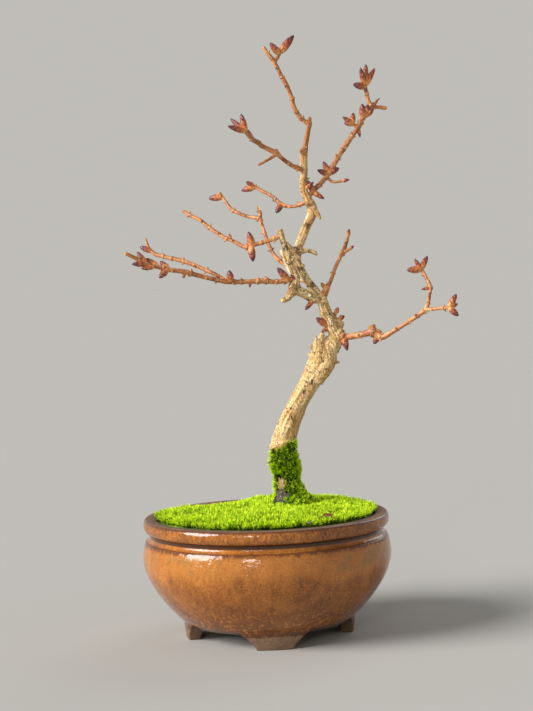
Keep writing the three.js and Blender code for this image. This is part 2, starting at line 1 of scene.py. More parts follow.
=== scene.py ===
# %% [markdown]
# # A small bonsai in bud
# This lesson finishes a small bonsai: a leafless tree with fat winter buds, rooted in a round
# glazed pot, with moss over the soil and up the foot of its trunk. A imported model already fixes
# every size and place. It is loaded first, and each piece below is modelled where that model says
# it stands.

# %% Load the fixed frame
import math
import random

import bmesh
import bpy
import numpy as np
from mathutils import Matrix, Quaternion, Vector, kdtree, noise


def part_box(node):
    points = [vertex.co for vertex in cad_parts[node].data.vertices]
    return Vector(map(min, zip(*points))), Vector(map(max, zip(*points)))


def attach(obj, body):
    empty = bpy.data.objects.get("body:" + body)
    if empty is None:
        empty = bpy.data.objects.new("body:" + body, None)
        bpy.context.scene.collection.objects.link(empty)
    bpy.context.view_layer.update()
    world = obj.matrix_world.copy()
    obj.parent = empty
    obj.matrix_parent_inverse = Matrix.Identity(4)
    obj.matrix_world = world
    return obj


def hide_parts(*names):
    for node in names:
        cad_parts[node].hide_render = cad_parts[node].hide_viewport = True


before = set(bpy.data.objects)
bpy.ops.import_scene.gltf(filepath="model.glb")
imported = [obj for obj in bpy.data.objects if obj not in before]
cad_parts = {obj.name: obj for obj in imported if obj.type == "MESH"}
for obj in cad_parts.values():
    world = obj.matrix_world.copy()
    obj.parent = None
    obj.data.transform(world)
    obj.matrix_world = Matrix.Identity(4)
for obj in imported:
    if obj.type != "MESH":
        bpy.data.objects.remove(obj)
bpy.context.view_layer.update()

print("pieces in the frame:", len(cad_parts))

# %% [markdown]
# ## One pair of axes for the whole lesson
# A potter and a grower both think in millimetres from the middle of the pot. So every piece is
# modelled in millimetres about the pot's own axis, with the table at height 0, and one matrix then
# carries it into the shared frame, which is in metres. The pot's box gives that axis.

# %% Axis of the pot
MM = 0.001
pot_low, pot_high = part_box("pot")
POT_X = (pot_low.x + pot_high.x) / 2
POT_Y = (pot_low.y + pot_high.y) / 2
TO_FRAME = Matrix.Translation((POT_X, POT_Y, 0)) @ Matrix.Scale(MM, 4)
UP = Vector((0, 0, 1))
chance = random.Random(7)
print("pot axis at", round(POT_X, 4), round(POT_Y, 4))


# %% [markdown]
# ## Handing over a finished piece
# Each piece ends the same way: it is carried into the frame, shaded smooth, given its finish, and
# tied to the body it belongs to. Nothing on this object moves, so there is one body, the root.

# %% Finish a piece
def hand_over(bm, name, finish, replaced=(), sharp=None):
    """Makes a bmesh in millimetres a piece. Edges sharper than `sharp` degrees stay crisp."""
    bm.transform(TO_FRAME)
    mesh = bpy.data.meshes.new(name)
    bm.to_mesh(mesh)
    bm.free()
    mesh.shade_smooth()
    if sharp is not None:
        mesh.set_sharp_from_angle(angle=math.radians(sharp))
    mesh.materials.append(finish)
    piece = bpy.data.objects.new(name, mesh)
    bpy.context.collection.objects.link(piece)
    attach(piece, "root")
    if replaced:
        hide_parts(*replaced)
    print(f"{name}: {len(mesh.vertices)} vertices")


def absorb(bm, part):
    """Adds another bmesh to this one and frees it."""
    mesh = bpy.data.meshes.new("part")
    part.to_mesh(mesh)
    part.free()
    bm.from_mesh(mesh)
    bpy.data.meshes.remove(mesh)


def store_evenly(bm, rise_value, shade_value):
    """Stores one `rise` and one `shade`, which some finishes read, on every vertex."""
    rise = bm.verts.layers.float.new("rise")
    shade = bm.verts.layers.float.new("shade")
    for vert in bm.verts:
        vert[rise] = rise_value
        vert[shade] = shade_value


# %% [markdown]
# ## Writing a finish as sums
# A finish is a recipe: a base tone, then patches, streaks and specks laid over it. Wiring dozens
# of Math nodes by hand hides that recipe. Here a number that varies over the surface is a Python
# object, and adding or multiplying such numbers adds the Math nodes, so the recipe reads like
# arithmetic.

# %% Numbers on a surface
class Value:
    """A socket whose arithmetic adds Math nodes."""

    def __init__(self, finish, socket):
        self.finish = finish
        self.socket = socket

    def math(self, operation, *terms):
        return self.finish.node("ShaderNodeMath", {"operation": operation}, dict(enumerate(terms)))

    def __add__(self, other):
        return self.math("ADD", self, other)

    def __sub__(self, other):
        return self.math("SUBTRACT", self, other)

    def __rsub__(self, other):
        return self.math("SUBTRACT", other, self)

    def __mul__(self, other):
        return self.math("MULTIPLY", self, other)

    __radd__ = __add__
    __rmul__ = __mul__

    def rise(self, start, end):
        """0 below `start`, 1 above `end`, and a smooth ramp between them."""
        settings = {"interpolation_type": "SMOOTHSTEP"}
        return self.finish.node(
            "ShaderNodeMapRange", settings, {"Value": self, "From Min": start, "From Max": end}
        )

    def fall(self, start, end):
        return 1 - self.rise(start, end)


# %% A finish and its nodes
class Finish:
    """A material, or a sky, being written. `self.place` is a point in mm about the pot's axis."""

    def __init__(self, holder):
        holder.use_nodes = True
        self.holder = holder
        self.tree = holder.node_tree
        self.tree.nodes.clear()
        centre = {"Location": (-POT_X / MM, -POT_Y / MM, 0), "Scale": (1 / MM, 1 / MM, 1 / MM)}
        point = self.node("ShaderNodeTexCoord", output="Object")
        self.place = self.node("ShaderNodeMapping", {}, {"Vector": point, **centre})

    def node(self, kind, settings=None, values=None, output=0):
        made = self.tree.nodes.new(kind)
        for name, setting in (settings or {}).items():
            if name == "stops":
                self.set_stops(made.color_ramp, setting)
            else:
                setattr(made, name, setting)
        for name, value in (values or {}).items():
            if isinstance(value, Value):
                self.tree.links.new(value.socket, made.inputs[name])
            else:
                made.inputs[name].default_value = value
        return Value(self, made.outputs[output]) if made.outputs else None

    def set_stops(self, ramp, stops):
        while len(ramp.elements) < len(stops):
            ramp.elements.new(1)
        for element, (place, colour) in zip(ramp.elements, stops):
            element.position = place
            element.color = colour

    def ramp(self, value, *stops):
        return self.node("ShaderNodeValToRGB", {"stops": stops}, {"Fac": value})

    def most(self, first, second):
        return self.node("ShaderNodeMath", {"operation": "MAXIMUM"}, {0: first, 1: second})

    def mix(self, mask, under, over):
        values = {0: mask, 6: under, 7: over}
        return self.node("ShaderNodeMix", {"data_type": "RGBA"}, values, output=2)

    def scaled(self, vector, *factors):
        return self.node("ShaderNodeVectorMath", {"operation": "MULTIPLY"}, {0: vector, 1: factors})

    def length(self, vector):
        settings = {"operation": "LENGTH"}
        return self.node("ShaderNodeVectorMath", settings, {0: vector}, output="Value")

    def part(self, vector, axis):
        return self.node("ShaderNodeSeparateXYZ", {}, {"Vector": vector}, output=axis)

    def noise(self, vector, scale, detail=3.0, roughness=0.5):
        values = {"Vector": vector, "Scale": scale, "Detail": detail, "Roughness": roughness}
        return self.node("ShaderNodeTexNoise", {}, values)

    def cells(self, vector, scale, output="Distance"):
        values = {"Vector": vector, "Scale": scale}
        return self.node("ShaderNodeTexVoronoi", {}, values, output=output)

    def stored(self, name, output="Fac"):
        """A number or vector that the modelling stored on the mesh."""
        return self.node("ShaderNodeAttribute", {"attribute_name": name}, output=output)

    def bump(self, height, distance):
        """Relief of a height from 0 to 1, as deep as `distance` in millimetres."""
        return self.node("ShaderNodeBump", {}, {"Height": height, "Distance": distance * MM})

    def done(self, sockets):
        shader = self.node("ShaderNodeBsdfPrincipled", {}, sockets)
        self.node("ShaderNodeOutputMaterial", {}, {"Surface": shader})
        return self.holder


def colour(red, green, blue):
    """A display colour, each channel from 0 to 255, as the linear light that shaders use."""
    def linear(channel):
        share = channel / 255
        return share / 12.92 if share <= 0.04045 else ((share + 0.055) / 1.055) ** 2.4

    return (linear(red), linear(green), linear(blue), 1.0)


# %% [markdown]
# ## The glaze
# A caramel glaze is brown clay seen through a skin of glass. It breaks pale and orange over
# ridges, runs in soft streaks down the belly, and pools dark in the groove under the rim, where
# painted shade makes it almost black. A paler band over the shoulder is partly painted light.
# Iron in the clay shows as fine dark specks. The top of the rim, the feet and the underside stay
# unglazed. One material can say all of this, because each zone is only a height, blurred by noise
# where glaze ran.

# %% Glaze and bare clay
def glaze_finish():
    f = Finish(bpy.data.materials.new("caramel_glaze"))
    height = f.part(f.place, "Z")
    radius = f.length(f.scaled(f.place, 1, 1, 0))
    cloud = f.noise(f.place, 0.05, 5, 0.6)
    run = f.noise(f.scaled(f.place, 1, 1, 0.3), 0.3, 4, 0.6)
    fine = f.noise(f.place, 1.1, 4, 0.6)
    tone = cloud * 0.4 + run * 0.2 + fine * 0.4
    caramel = f.ramp(
        tone,
        (0.36, colour(98, 52, 20)),
        (0.46, colour(142, 84, 32)),
        (0.54, colour(172, 106, 44)),
        (0.66, colour(200, 136, 68)),
    )
    # Painted shade: the belly is darkened towards its bottom.
    belly_low_shade = height.fall(12, 44)
    caramel = f.mix(belly_low_shade * 0.55, caramel, colour(96, 52, 24))
    # A paler band over the belly's shoulder: partly glaze breaking over the ridge, partly painted
    # light.
    crest_break_and_light = (height + (run - 0.5) * 14).rise(40, 50) * height.fall(56, 60)
    caramel = f.mix(crest_break_and_light * 0.4, caramel, colour(196, 128, 58))
    drips = f.noise(f.scaled(f.place, 1, 1, 0.7), 0.42, 3, 0.5).rise(0.54, 0.64)
    caramel = f.mix(drips * height.fall(16, 36) * 0.6, caramel, colour(198, 130, 60))
    near = f.cells(f.place, 0.8)
    chosen = f.part(f.cells(f.place, 0.8, "Color"), "X")
    specks = near.fall(0.1, 0.34) * chosen.rise(0.5, 0.6)
    caramel = f.mix(specks * 0.7, caramel, colour(62, 34, 22))
    mottle = f.noise(f.scaled(f.place, 1, 1, 0.6), 0.6, 4, 0.7)
    dark_rim = height.rise(65.6, 66.6) * mottle.rise(0.46, 0.58)
    caramel = f.mix(dark_rim * 0.6, caramel, colour(96, 56, 34))
    # Olive patches on the shoulder: a painted reflection of the moss, with a matt bloom of the
    # glaze.
    olive_reflection = cloud.rise(0.5, 0.6) * height.rise(45, 50) * height.fall(55, 59)
    caramel = f.mix(olive_reflection * 0.45, caramel, colour(112, 94, 58))
    ragged = height + (run - 0.5) * 8 + (fine - 0.5) * 2
    purple = ragged.rise(58.5, 59.8) * height.fall(60.4, 61)
    caramel = f.mix(purple * 0.75, caramel, colour(76, 42, 36))
    # The groove under the rim, almost black: glaze pooled there, and painted shade under the rolled
    # rim.
    groove_pool_and_shade = height.rise(62.4, 63.6) * height.fall(65.7, 66.5)
    caramel = f.mix(groove_pool_and_shade * 0.9, caramel, colour(44, 24, 22))
    edge = (height + (run - 0.5) * 3).rise(72, 73)
    caramel = f.mix(edge * 0.7, caramel, colour(74, 48, 46))
    toe = height - (run - 0.5) * 4
    caramel = f.mix(toe.fall(9.6, 12.4) * 0.7, caramel, colour(56, 32, 26))
    bare_foot = f.most(toe.fall(7.6, 8.1), radius.fall(50.4, 51.2) * height.fall(12, 13))
    inside = radius.fall(67.0, 67.6) * height.rise(40, 41)
    bare = f.most(f.most(bare_foot, height.rise(73.5, 73.75)), inside)
    clay_tone = fine * 0.6 + cloud * 0.4
    clay = f.ramp(clay_tone, (0.38, colour(84, 62, 46)), (0.62, colour(136, 106, 80)))
    # Inside the mouth below the rim, darkened: soil stain and painted shade.
    clay = f.mix(inside * height.fall(71.4, 73) * 0.8, clay, colour(40, 28, 24))
    base = f.mix(bare, caramel, clay)
    roughness = 0.07 + fine * 0.1 + bare * 0.62
    pinholes = f.cells(f.place, 0.21).fall(0.03, 0.08)
    grit = f.noise(f.place, 2.6, 3)
    ripple = f.noise(f.place, 0.28, 2)
    relief = (ripple + fine * 0.1) * (1 - bare) - pinholes * 0.5 + grit * bare * 0.5
    return f.done({"Base Color": base, "Roughness": roughness, "Normal": f.bump(relief, 0.3)})


GLAZE = glaze_finish()


# %% [markdown]
# ## The pot's body
# A pot is thrown on a wheel, so its shape is one outline turned about an axis. The outline is
# drawn as a few Bezier arcs, from the middle of the floor, out and up the belly, over the groove
# and the rolled rim, and down the inside. `spin` then does what the wheel does. A full spin with
# its seam merged needs no stitching, and the vertices on the axis merge into one.

# %% Outline and spin
def arc(start, first, second, end, count):
    """Points along a Bezier arc, without its start."""
    points = []
    for step in range(1, count + 1):
        t = step / count
        s = 1 - t
        pulls = (s**3, 3 * s * s * t, 3 * s * t * t, t**3)
        stops = (start, first, second, end)
        points.append(tuple(sum(p * stop[i] for p, stop in zip(pulls, stops)) for i in (0, 1)))
    return points


def turned(bm, outline, steps):
    """Spins an outline of (radius, height) about the vertical axis."""
    corners = [bm.verts.new((radius, 0, height)) for radius, height in outline]
    edges = [bm.edges.new(pair) for pair in zip(corners, corners[1:])]
    line = corners + edges
    bmesh.ops.spin(
        bm, geom=line, axis=UP, cent=(0, 0, 0), angle=math.tau, steps=steps, use_merge=True
    )
    bmesh.ops.remove_doubles(bm, verts=bm.verts, dist=0.001)
    bmesh.ops.recalc_face_normals(bm, faces=bm.faces)


FLOOR_UNDER = 9
FLOOR_TOP = 15.5
FOOT_HEIGHT = 10.6
RIM_TOP = 74
MOUTH_RADIUS = 67.2


def pot_outline():
    outline = [(0, FLOOR_UNDER), (30, FLOOR_UNDER), (50, FLOOR_UNDER), (52.3, FOOT_HEIGHT)]
    outline += arc((52.3, FOOT_HEIGHT), (62, 19), (76.4, 36), (76.4, 50), 22)
    outline += arc((76.4, 50), (75.9, 54), (75.6, 58), (74.4, 60.2), 8)
    outline += arc((74.4, 60.2), (74.2, 60.7), (73.4, 60.4), (73.1, 61), 4)
    outline += arc((73.1, 61), (71.4, 62), (71.3, 65), (73.2, 65.7), 8)
    outline += arc((73.2, 65.7), (76.3, 66.8), (76.1, 72.6), (74.2, 73.6), 10)
    outline += arc((74.2, 73.6), (73.6, 73.95), (73.2, 74), (72.6, RIM_TOP), 3)
    outline += [(70.5, 73.9), (68.4, 73.8)]
    outline += arc((68.4, 73.8), (67.4, 73.6), (67.2, 73.2), (MOUTH_RADIUS, 72), 4)
    outline += arc((MOUTH_RADIUS, 72), (MOUTH_RADIUS, 66), (70.2, 60), (70.2, 47), 8)
    outline += arc((70.2, 47), (70.2, 34), (58, 20), (46, FLOOR_TOP), 8)
    outline += [(24, FLOOR_TOP), (0, FLOOR_TOP)]
    return outline


# %% [markdown]
# ## Four bracket feet
# The feet are cut from a ring of clay: each is a short stretch of ring whose ends flare out and up
# to meet the pot, like a shelf bracket. A cube is divided into a grid, and each of its points is
# then moved to its place on that ring. Their flat undersides are where the pot rests. Drain and
# wire holes are cut last, by boolean, so that body and feet become one fired piece.

# %% Feet and holes
FOOT_TURN = math.radians(3)
FOOT_HALF_WIDTH = 11.5
FOOT_TOP_HALF_WIDTH = 21
DRAIN_HOLE_RADIUS = 9
WIRE_HOLE_RADIUS = 2
WIRE_HOLE_X = 24


def bracket_half_width(rise):
    """Half the foot's width at a share `rise` of its height: it flares ever faster to the top."""
    return FOOT_HALF_WIDTH + (FOOT_TOP_HALF_WIDTH - FOOT_HALF_WIDTH) * min(rise / 0.82, 1) ** 1.7


def add_foot(bm, turn):
    """One bracket foot, facing -Y before it is turned by `turn` radians."""
    cube = bmesh.ops.create_cube(bm, size=2)
    edges = {edge for vert in cube["verts"] for edge in vert.link_edges}
    bmesh.ops.subdivide_edges(bm, edges=list(edges), cuts=9, use_grid_fill=True)
    for vert in [v for v in bm.verts if v.tag is False]:
        across, through, up = vert.co
        rise = (up + 1) / 2
        half = bracket_half_width(rise)
        pinch = 1 - 0.06 * (1 - rise) * across**4
        radius = 47.6 - through * (4 + 0.6 * rise) * pinch + 0.8 * rise
        angle = across * half / 51.4 - math.pi / 2 + turn
        height = rise * (FOOT_HEIGHT + 1.2)
        vert.co = (radius * math.cos(angle), radius * math.sin(angle), height)
        vert.tag = True


def cut(bm, cutter, operation):
    """Applies a boolean with another bmesh and frees it."""
    meshes = []
    for source in (bm, cutter):
        mesh = bpy.data.meshes.new("boolean")
        source.to_mesh(mesh)
        meshes.append(bpy.data.objects.new("boolean", mesh))
        bpy.context.collection.objects.link(meshes[-1])
    step = meshes[0].modifiers.new("cut", "BOOLEAN")
    step.operation = operation
    step.solver = "MANIFOLD"
    step.object = meshes[1]
    bm.clear()
    bm.from_object(meshes[0], bpy.context.evaluated_depsgraph_get())
    for holder in meshes:
        bpy.data.meshes.remove(holder.data)
    cutter.free()


def model_pot():
    body = bmesh.new()
    turned(body, pot_outline(), 144)
    feet = bmesh.new()
    for quarter in range(4):
        add_foot(feet, FOOT_TURN + quarter * math.pi / 2)
    # The faces still have the cubes' normals here, so only the cubes' own twelve edges are ridges.
    ridges = [e for e in feet.edges if e.calc_face_angle(0) > math.radians(50)]
    feet.normal_update()
    bmesh.ops.bevel(
        feet, geom=ridges, offset=0.9, segments=3, profile=0.5, affect="EDGES", material=-1
    )
    cut(body, feet, "UNION")
    holes = bmesh.new()
    wire_holes = [(side * WIRE_HOLE_X, WIRE_HOLE_RADIUS) for side in (-1, 1)]
    for x, radius in [(0, DRAIN_HOLE_RADIUS), *wire_holes]:
        place = Matrix.Translation((x, 0, FLOOR_TOP))
        sizes = {"radius1": radius, "radius2": radius, "depth": 20}
        bmesh.ops.create_cone(holes, cap_ends=True, segments=48, matrix=place, **sizes)
    cut(body, holes, "DIFFERENCE")
    return body


hand_over(model_pot(), "glazed_pot", GLAZE, ["pot"], sharp=48)


# %% [markdown]
# ## Mesh and wires under the soil
# A square of plastic mesh keeps soil in above the drain hole. A wire staple holds it, and a longer
# wire runs under the floor and up into the soil, where it ties the roots down. A wire is a curve
# with a round bevel: straight legs, with a small bend at each corner.

# %% Plain finishes for plastic and wire
def plain_finish(name, dark, light, roughness, metallic=0.0):
    f = Finish(bpy.data.materials.new(name))
    grain = f.noise(f.place, 1.1, 4)
    scuffs = f.noise(f.scaled(f.place, 1, 1, 4), 0.7, 2)
    tone = f.ramp(grain * 0.7 + scuffs * 0.3, (0.35, dark), (0.65, light))
    worn = roughness + (grain - 0.5) * 0.2
    sockets = {"Base Color": tone, "Roughness": worn, "Metallic": metallic}
    return f.done({**sockets, "Normal": f.bump(grain, 0.03)})


MESH_PLASTIC = plain_finish("mesh_plastic", colour(20, 21, 22), colour(44, 46, 48), 0.55)
WIRE = plain_finish("annealed_wire", colour(150, 148, 146), colour(196, 195, 194), 0.36, 1.0)


# %% Tubes round a row of points
def add_tube(bm, places, radii, roundness=4):
    """Adds a capped round tube to a bmesh, with a radius at each place."""
    curve = bpy.data.curves.new("tube", "CURVE")
    curve.dimensions = "3D"
    curve.bevel_depth = 1
    curve.bevel_resolution = roundness
    curve.use_fill_caps = True
    spline = curve.splines.new("POLY")
    spline.points.add(len(places) - 1)
    for point, place, radius in zip(spline.points, places, radii):
        point.co = (*place, 1)
        point.radius = radius
    holder = bpy.data.objects.new("tube", curve)
    mesh = bpy.data.meshes.new_from_object(holder)
    bm.from_mesh(mesh)
    bpy.data.meshes.remove(mesh)
    bpy.data.curves.remove(curve)
    bmesh.ops.remove_doubles(bm, verts=bm.verts, dist=0.0005)


def bent(corners, bend):
    """Straight legs between corners, with each corner rounded."""
    corners = [Vector(corner) for corner in corners]
    places = [corners[0]]
    for before, corner, after in zip(corners, corners[1:], corners[2:]):
        start = corner + (before - corner).normalized() * bend
        end = corner + (after - corner).normalized() * bend
        for step in range(7):
            t = step / 6
            places.append(start.lerp(corner, t).lerp(corner.lerp(end, t), t))
    return places + [corners[-1]]


def model_wire(corners, radius, bend):
    bm = bmesh.new()
    places = bent(corners, bend)
    add_tube(bm, places, [radius] * len(places))
    bmesh.ops.recalc_face_normals(bm, faces=bm.faces)
    return bm


# %% Drain mesh, staple and anchor wire
def model_drain_mesh():
    """Crossed bars: a grid of squares turned into a frame along its edges."""
    bm = bmesh.new()
    place = Matrix.Translation((0, 0, FLOOR_TOP + 0.9))
    bmesh.ops.create_grid(bm, x_segments=5, y_segments=5, size=12.5, matrix=place)
    bmesh.ops.wireframe(
        bm, faces=bm.faces, thickness=0.8, use_boundary=True, use_even_offset=True, use_replace=True
    )
    bmesh.ops.scale(bm, vec=(1, 1, 0.7), verts=bm.verts, space=place.inverted())
    return bm


drain_mesh = model_drain_mesh()
hand_over(drain_mesh, "plastic_drain_mesh", MESH_PLASTIC, ["drain_mesh"], 40)
staple = [(0, -14, 8.1), (0, -5, 8.1), (0, -5, 17.9), (0, 5, 17.9), (0, 5, 8.1), (0, 14, 8.1)]
hand_over(model_wire(staple, 0.6, 1.4), "wire_staple", WIRE, ["mesh_clip"])
anchor_half = [(14, 0, 54), (WIRE_HOLE_X, 0, 40), (WIRE_HOLE_X, 0, 7.9)]
anchor = [(-x, y, z) for x, y, z in anchor_half] + anchor_half[::-1]
hand_over(model_wire(anchor, 0.8, 2), "root_anchor_wire", WIRE, ["anchor_wire"])


# %% [markdown]
# ## Bark in three ages
# Young twigs are orange-brown, with pale breathing dots and patches that age to tan. Old bark is
# pale tan, streaked along the limb, with short dark dashes across it. Dead wood bleaches and
# peels. The streaks must follow each limb, so the modelling stores a `grain` vector on every
# vertex: its place round the limb, and its distance along it. Stretching noise along that gives
# true wood grain.

# %% Old bark
def bark_finish():
    f = Finish(bpy.data.materials.new("old_bark"))
    grain = f.stored("grain", "Vector")
    joint = f.stored("joint")
    hollow = f.stored("hollow")
    height = f.part(f.place, "Z")
    streak = f.noise(f.scaled(grain, 1, 1, 0.08), 0.85, 6, 0.7)
    patch = f.noise(f.place, 0.13, 4, 0.6)
    fine = f.noise(f.scaled(grain, 1, 1, 0.2), 2.6, 4, 0.65)
    tan = f.ramp(
        streak * 0.55 + patch * 0.2 + fine * 0.25,
        (0.35, colour(106, 68, 32)),
        (0.43, colour(172, 126, 66)),
        (0.49, colour(212, 172, 108)),
        (0.55, colour(238, 212, 160)),
        (0.62, colour(252, 240, 214)),
    )
    # Painted shade: the bark is darkened in its carved grooves.
    tan = f.mix(hollow * 0.55, tan, colour(104, 64, 30))
    dashes = f.noise(f.scaled(grain, 0.42, 0.42, 2.2), 0.8, 2, 0.4).rise(0.64, 0.69)
    tan = f.mix(dashes * 0.85, tan, colour(52, 34, 24))
    knots = (joint * 0.62 + f.noise(f.place, 0.55, 4, 0.7)).rise(0.78, 0.98)
    tan = f.mix(knots * 0.85, tan, colour(66, 42, 28))
    lichen = f.noise(f.place, 0.42, 4, 0.7).rise(0.63, 0.68) * height.rise(185, 205)
    tan = f.mix(lichen * 0.6, tan, colour(150, 146, 104))
    scarred = f.noise(f.place, 0.32, 4, 0.75).rise(0.52, 0.6)
    scarred = scarred * height.rise(180, 190) * height.fall(238, 256)
    tan = f.mix(scarred * 0.6, tan, colour(84, 62, 42))
    ripe = height.rise(286, 300)
    tan = f.mix(height.rise(236, 262) * 0.35, tan, colour(196, 140, 74))
    tan = f.mix(ripe * 0.75, tan, colour(166, 96, 58))
    tan = f.mix(height.fall(94, 100) * 0.55, tan, colour(120, 78, 52))
    soiled = (height + (patch - 0.5) * 16).fall(87.5, 90.5)
    tan = f.mix(soiled * 0.92, tan, colour(40, 32, 32))
    chosen = f.part(f.cells(f.place, 0.9, "Color"), "Y").rise(0.5, 0.54)
    flecks = f.cells(f.place, 0.9).fall(0.22, 0.42) * chosen
    tan = f.mix(flecks * soiled, tan, colour(196, 190, 180))
    relief = streak * 0.6 + fine * 0.4 - hollow * 0.3 - dashes * 0.4
    roughness = 0.55 + fine * 0.25
    return f.done({"Base Color": tan, "Roughness": roughness, "Normal": f.bump(relief, 0.5)})


# %% Twig bark
def twig_finish():
    f = Finish(bpy.data.materials.new("twig_bark"))
    grain = f.stored("grain", "Vector")
    joint = f.stored("joint")
    hollow = f.stored("hollow")
    streak = f.noise(f.scaled(grain, 1, 1, 0.16), 2.0, 5, 0.65)
    patch = f.noise(f.place, 0.14, 3, 0.6)
    tone = f.ramp(
        streak * 0.55 + patch * 0.45,
        (0.36, colour(98, 46, 24)),
        (0.45, colour(158, 84, 42)),
        (0.53, colour(198, 122, 66)),
        (0.64, colour(232, 178, 118)),
    )
    aged = f.noise(f.place, 0.09, 3).rise(0.48, 0.62)
    tone = f.mix(aged * 0.32, tone, colour(190, 146, 92))
    # Painted shade: the twig bark is darkened in its carved grooves.
    tone = f.mix(hollow * 0.6, tone, colour(96, 50, 32))
    dots = f.cells(f.scaled(grain, 1, 1, 0.6), 1.15).fall(0.1, 0.24)
    tone = f.mix(dots * 0.7, tone, colour(236, 208, 170))
    mottle = f.noise(f.place, 1.1, 4, 0.7)
    scars = (joint * 0.6 + mottle).rise(0.86, 1.0)
    tone = f.mix(joint * mottle.fall(0.4, 0.5) * 0.65, tone, colour(232, 206, 150))
    tone = f.mix(scars * 0.85, tone, colour(76, 44, 32))
    relief = streak * 0.5 + dots * 0.35
    roughness = 0.3 + streak * 0.3
    return f.done({"Base Color": tone, "Roughness": roughness, "Normal": f.bump(relief, 0.2)})


# %% Dead wood
def deadwood_finish():
    f = Finish(bpy.data.materials.new("bleached_deadwood"))
    grain = f.stored("grain", "Vector")
    streak = f.noise(f.scaled(grain, 1, 1, 0.12), 1.8, 5, 0.65)
    patch = f.noise(f.place, 0.2, 3)
    tone = f.ramp(
        streak * 0.6 + patch * 0.4,
        (0.36, colour(150, 110, 66)),
        (0.47, colour(222, 190, 134)),
        (0.6, colour(250, 238, 208)),
    )
    relief = f.bump(streak, 0.2)
    return f.done({"Base Color": tone, "Roughness": 0.6 + streak * 0.2, "Normal": relief})


BARK = bark_finish()
TWIG = twig_finish()
DEADWOOD = deadwood_finish()


# %% [markdown]
# ## Growing a limb
# A limb could be one smooth tube, but real wood swells at every joint, where a pair of buds or
# scars sat, and it never runs quite straight or round. So each limb is built up the way it grew: a
# tapered tube along its route, a swelling and two scars at each joint, and a knob at each end. A
# voxel remesh then melts all of these into one skin, and noise moves that skin in and out to give
# it its relief.

# %% Smooth routes
def smooth_route(route, spacing):
    """Even (place, radius, distance) samples of a smooth curve through [x, y, z, radius] stops."""
    points = [Vector(stop) for stop in route]
    points = [points[0] * 2 - points[1], *points, points[-1] * 2 - points[-2]]
    dense = []
    for p, a, b, q in zip(points, points[1:], points[2:], points[3:]):
        length = (b - a).to_3d().length
        for step in range(12):
            t = step / 12
            bend = (b - p) * t + (2 * p - 5 * a + 4 * b - q) * t**2 + (3 * a - p - 3 * b + q) * t**3
            dense.append(a + bend * 0.5)
    dense.append(points[-2])
    result = [(dense[0].to_3d(), dense[0].w, 0.0)]
    travelled = 0.0
    for before, after in zip(dense, dense[1:]):
        travelled += (after.to_3d() - before.to_3d()).length
        if travelled - result[-1][2] >= spacing:
            result.append((after.to_3d(), after.w, travelled))
    return result


def sideways(direction, turn):
    """A unit vector square to a direction, turned about it."""
    side = direction.cross(Vector((0.21, 0.43, 0.88))).normalized()
    return Quaternion(direction, turn) @ side


def add_ball(bm, place, radius, flat=1.0, along=UP):
    """A small ball, squeezed to `flat` of its size in one direction."""
    turn = UP.rotation_difference(along).to_matrix().to_4x4()
    matrix = Matrix.Translation(place) @ turn @ Matrix.Diagonal((radius, radius, radius * flat, 1))
    bmesh.ops.create_icosphere(bm, subdivisions=2, radius=1, matrix=matrix)


# %% Joints along a limb
def add_joints(bm, samples, spacing, swell):
    """Swellings with a pair of opposite scars, each square to the last. Returns their places."""
    joints = []
    turn = chance.uniform(0, math.tau)
    next_joint = spacing * chance.uniform(0.5, 0.9)
    for (place, radius, travelled), (after, _, _) in zip(samples, samples[1:]):
        if travelled < next_joint:
            continue
        direction = (after - place).normalized()
        add_ball(bm, place, radius * swell * chance.uniform(0.82, 1.06), 0.7, direction)
        for side in (0, math.pi):
            out = sideways(direction, turn + side)
            scar = place + out * radius * 1.05 + direction * radius * 0.4
            add_ball(bm, scar, radius * chance.uniform(0.45, 0.7), 0.75, out + direction)
            if chance.random() < 0.7:
                reach = chance.uniform(1.0, 2.0)
                tip = scar + (out + direction * chance.uniform(0.2, 1.2)).normalized() * reach
                add_tube(bm, [scar, scar.lerp(tip, 0.6), tip], [0.65, 0.5, 0.25])
        joints.append((place, radius))
        turn += math.pi / 2
        next_joint = travelled + spacing * chance.uniform(0.6, 1.5)
    return joints


# %% Melt and carve
def melted(bm, voxel, smoothing):
    """Fuses overlapping shapes into one skin with voxels of the given size."""
    mesh = bpy.data.meshes.new("melt")
    bm.to_mesh(mesh)
    holder = bpy.data.objects.new("melt", mesh)
    bpy.context.collection.objects.link(holder)
    remesh = holder.modifiers.new("melt", "REMESH")
    remesh.mode = "VOXEL"
    remesh.voxel_size = voxel
    bm.clear()
    bm.from_object(holder, bpy.context.evaluated_depsgraph_get())
    bpy.data.meshes.remove(mesh)
    for _ in range(smoothing):
        bmesh.ops.smooth_vert(
            bm, verts=bm.verts, factor=0.5, use_axis_x=True, use_axis_y=True, use_axis_z=True
        )


def store_grain(bm, samples, joints):
    """Stores where each vertex lies round and along its limb, and how near a joint it is."""
    grain = bm.verts.layers.float_vector.new("grain")
    joint = bm.verts.layers.float.new("joint")
    tree = kdtree.KDTree(len(samples))
    for index, (place, _, _) in enumerate(samples):
        tree.insert(place, index)
    tree.balance()
    knots = kdtree.KDTree(max(len(joints), 1))
    for index, (place, _) in enumerate(joints):
        knots.insert(place, index)
    knots.balance()
    for vert in bm.verts:
        index = tree.find(vert.co)[1]
        place, _, travelled = samples[index]
        off = vert.co - place
        vert[grain] = (off.x, off.y + off.z * 0.35, travelled + off.z * 0.1)
        if joints:
            _, knot, distance = knots.find(vert.co)
            vert[joint] = math.exp(-((distance / (1.7 * joints[knot][1])) ** 2))


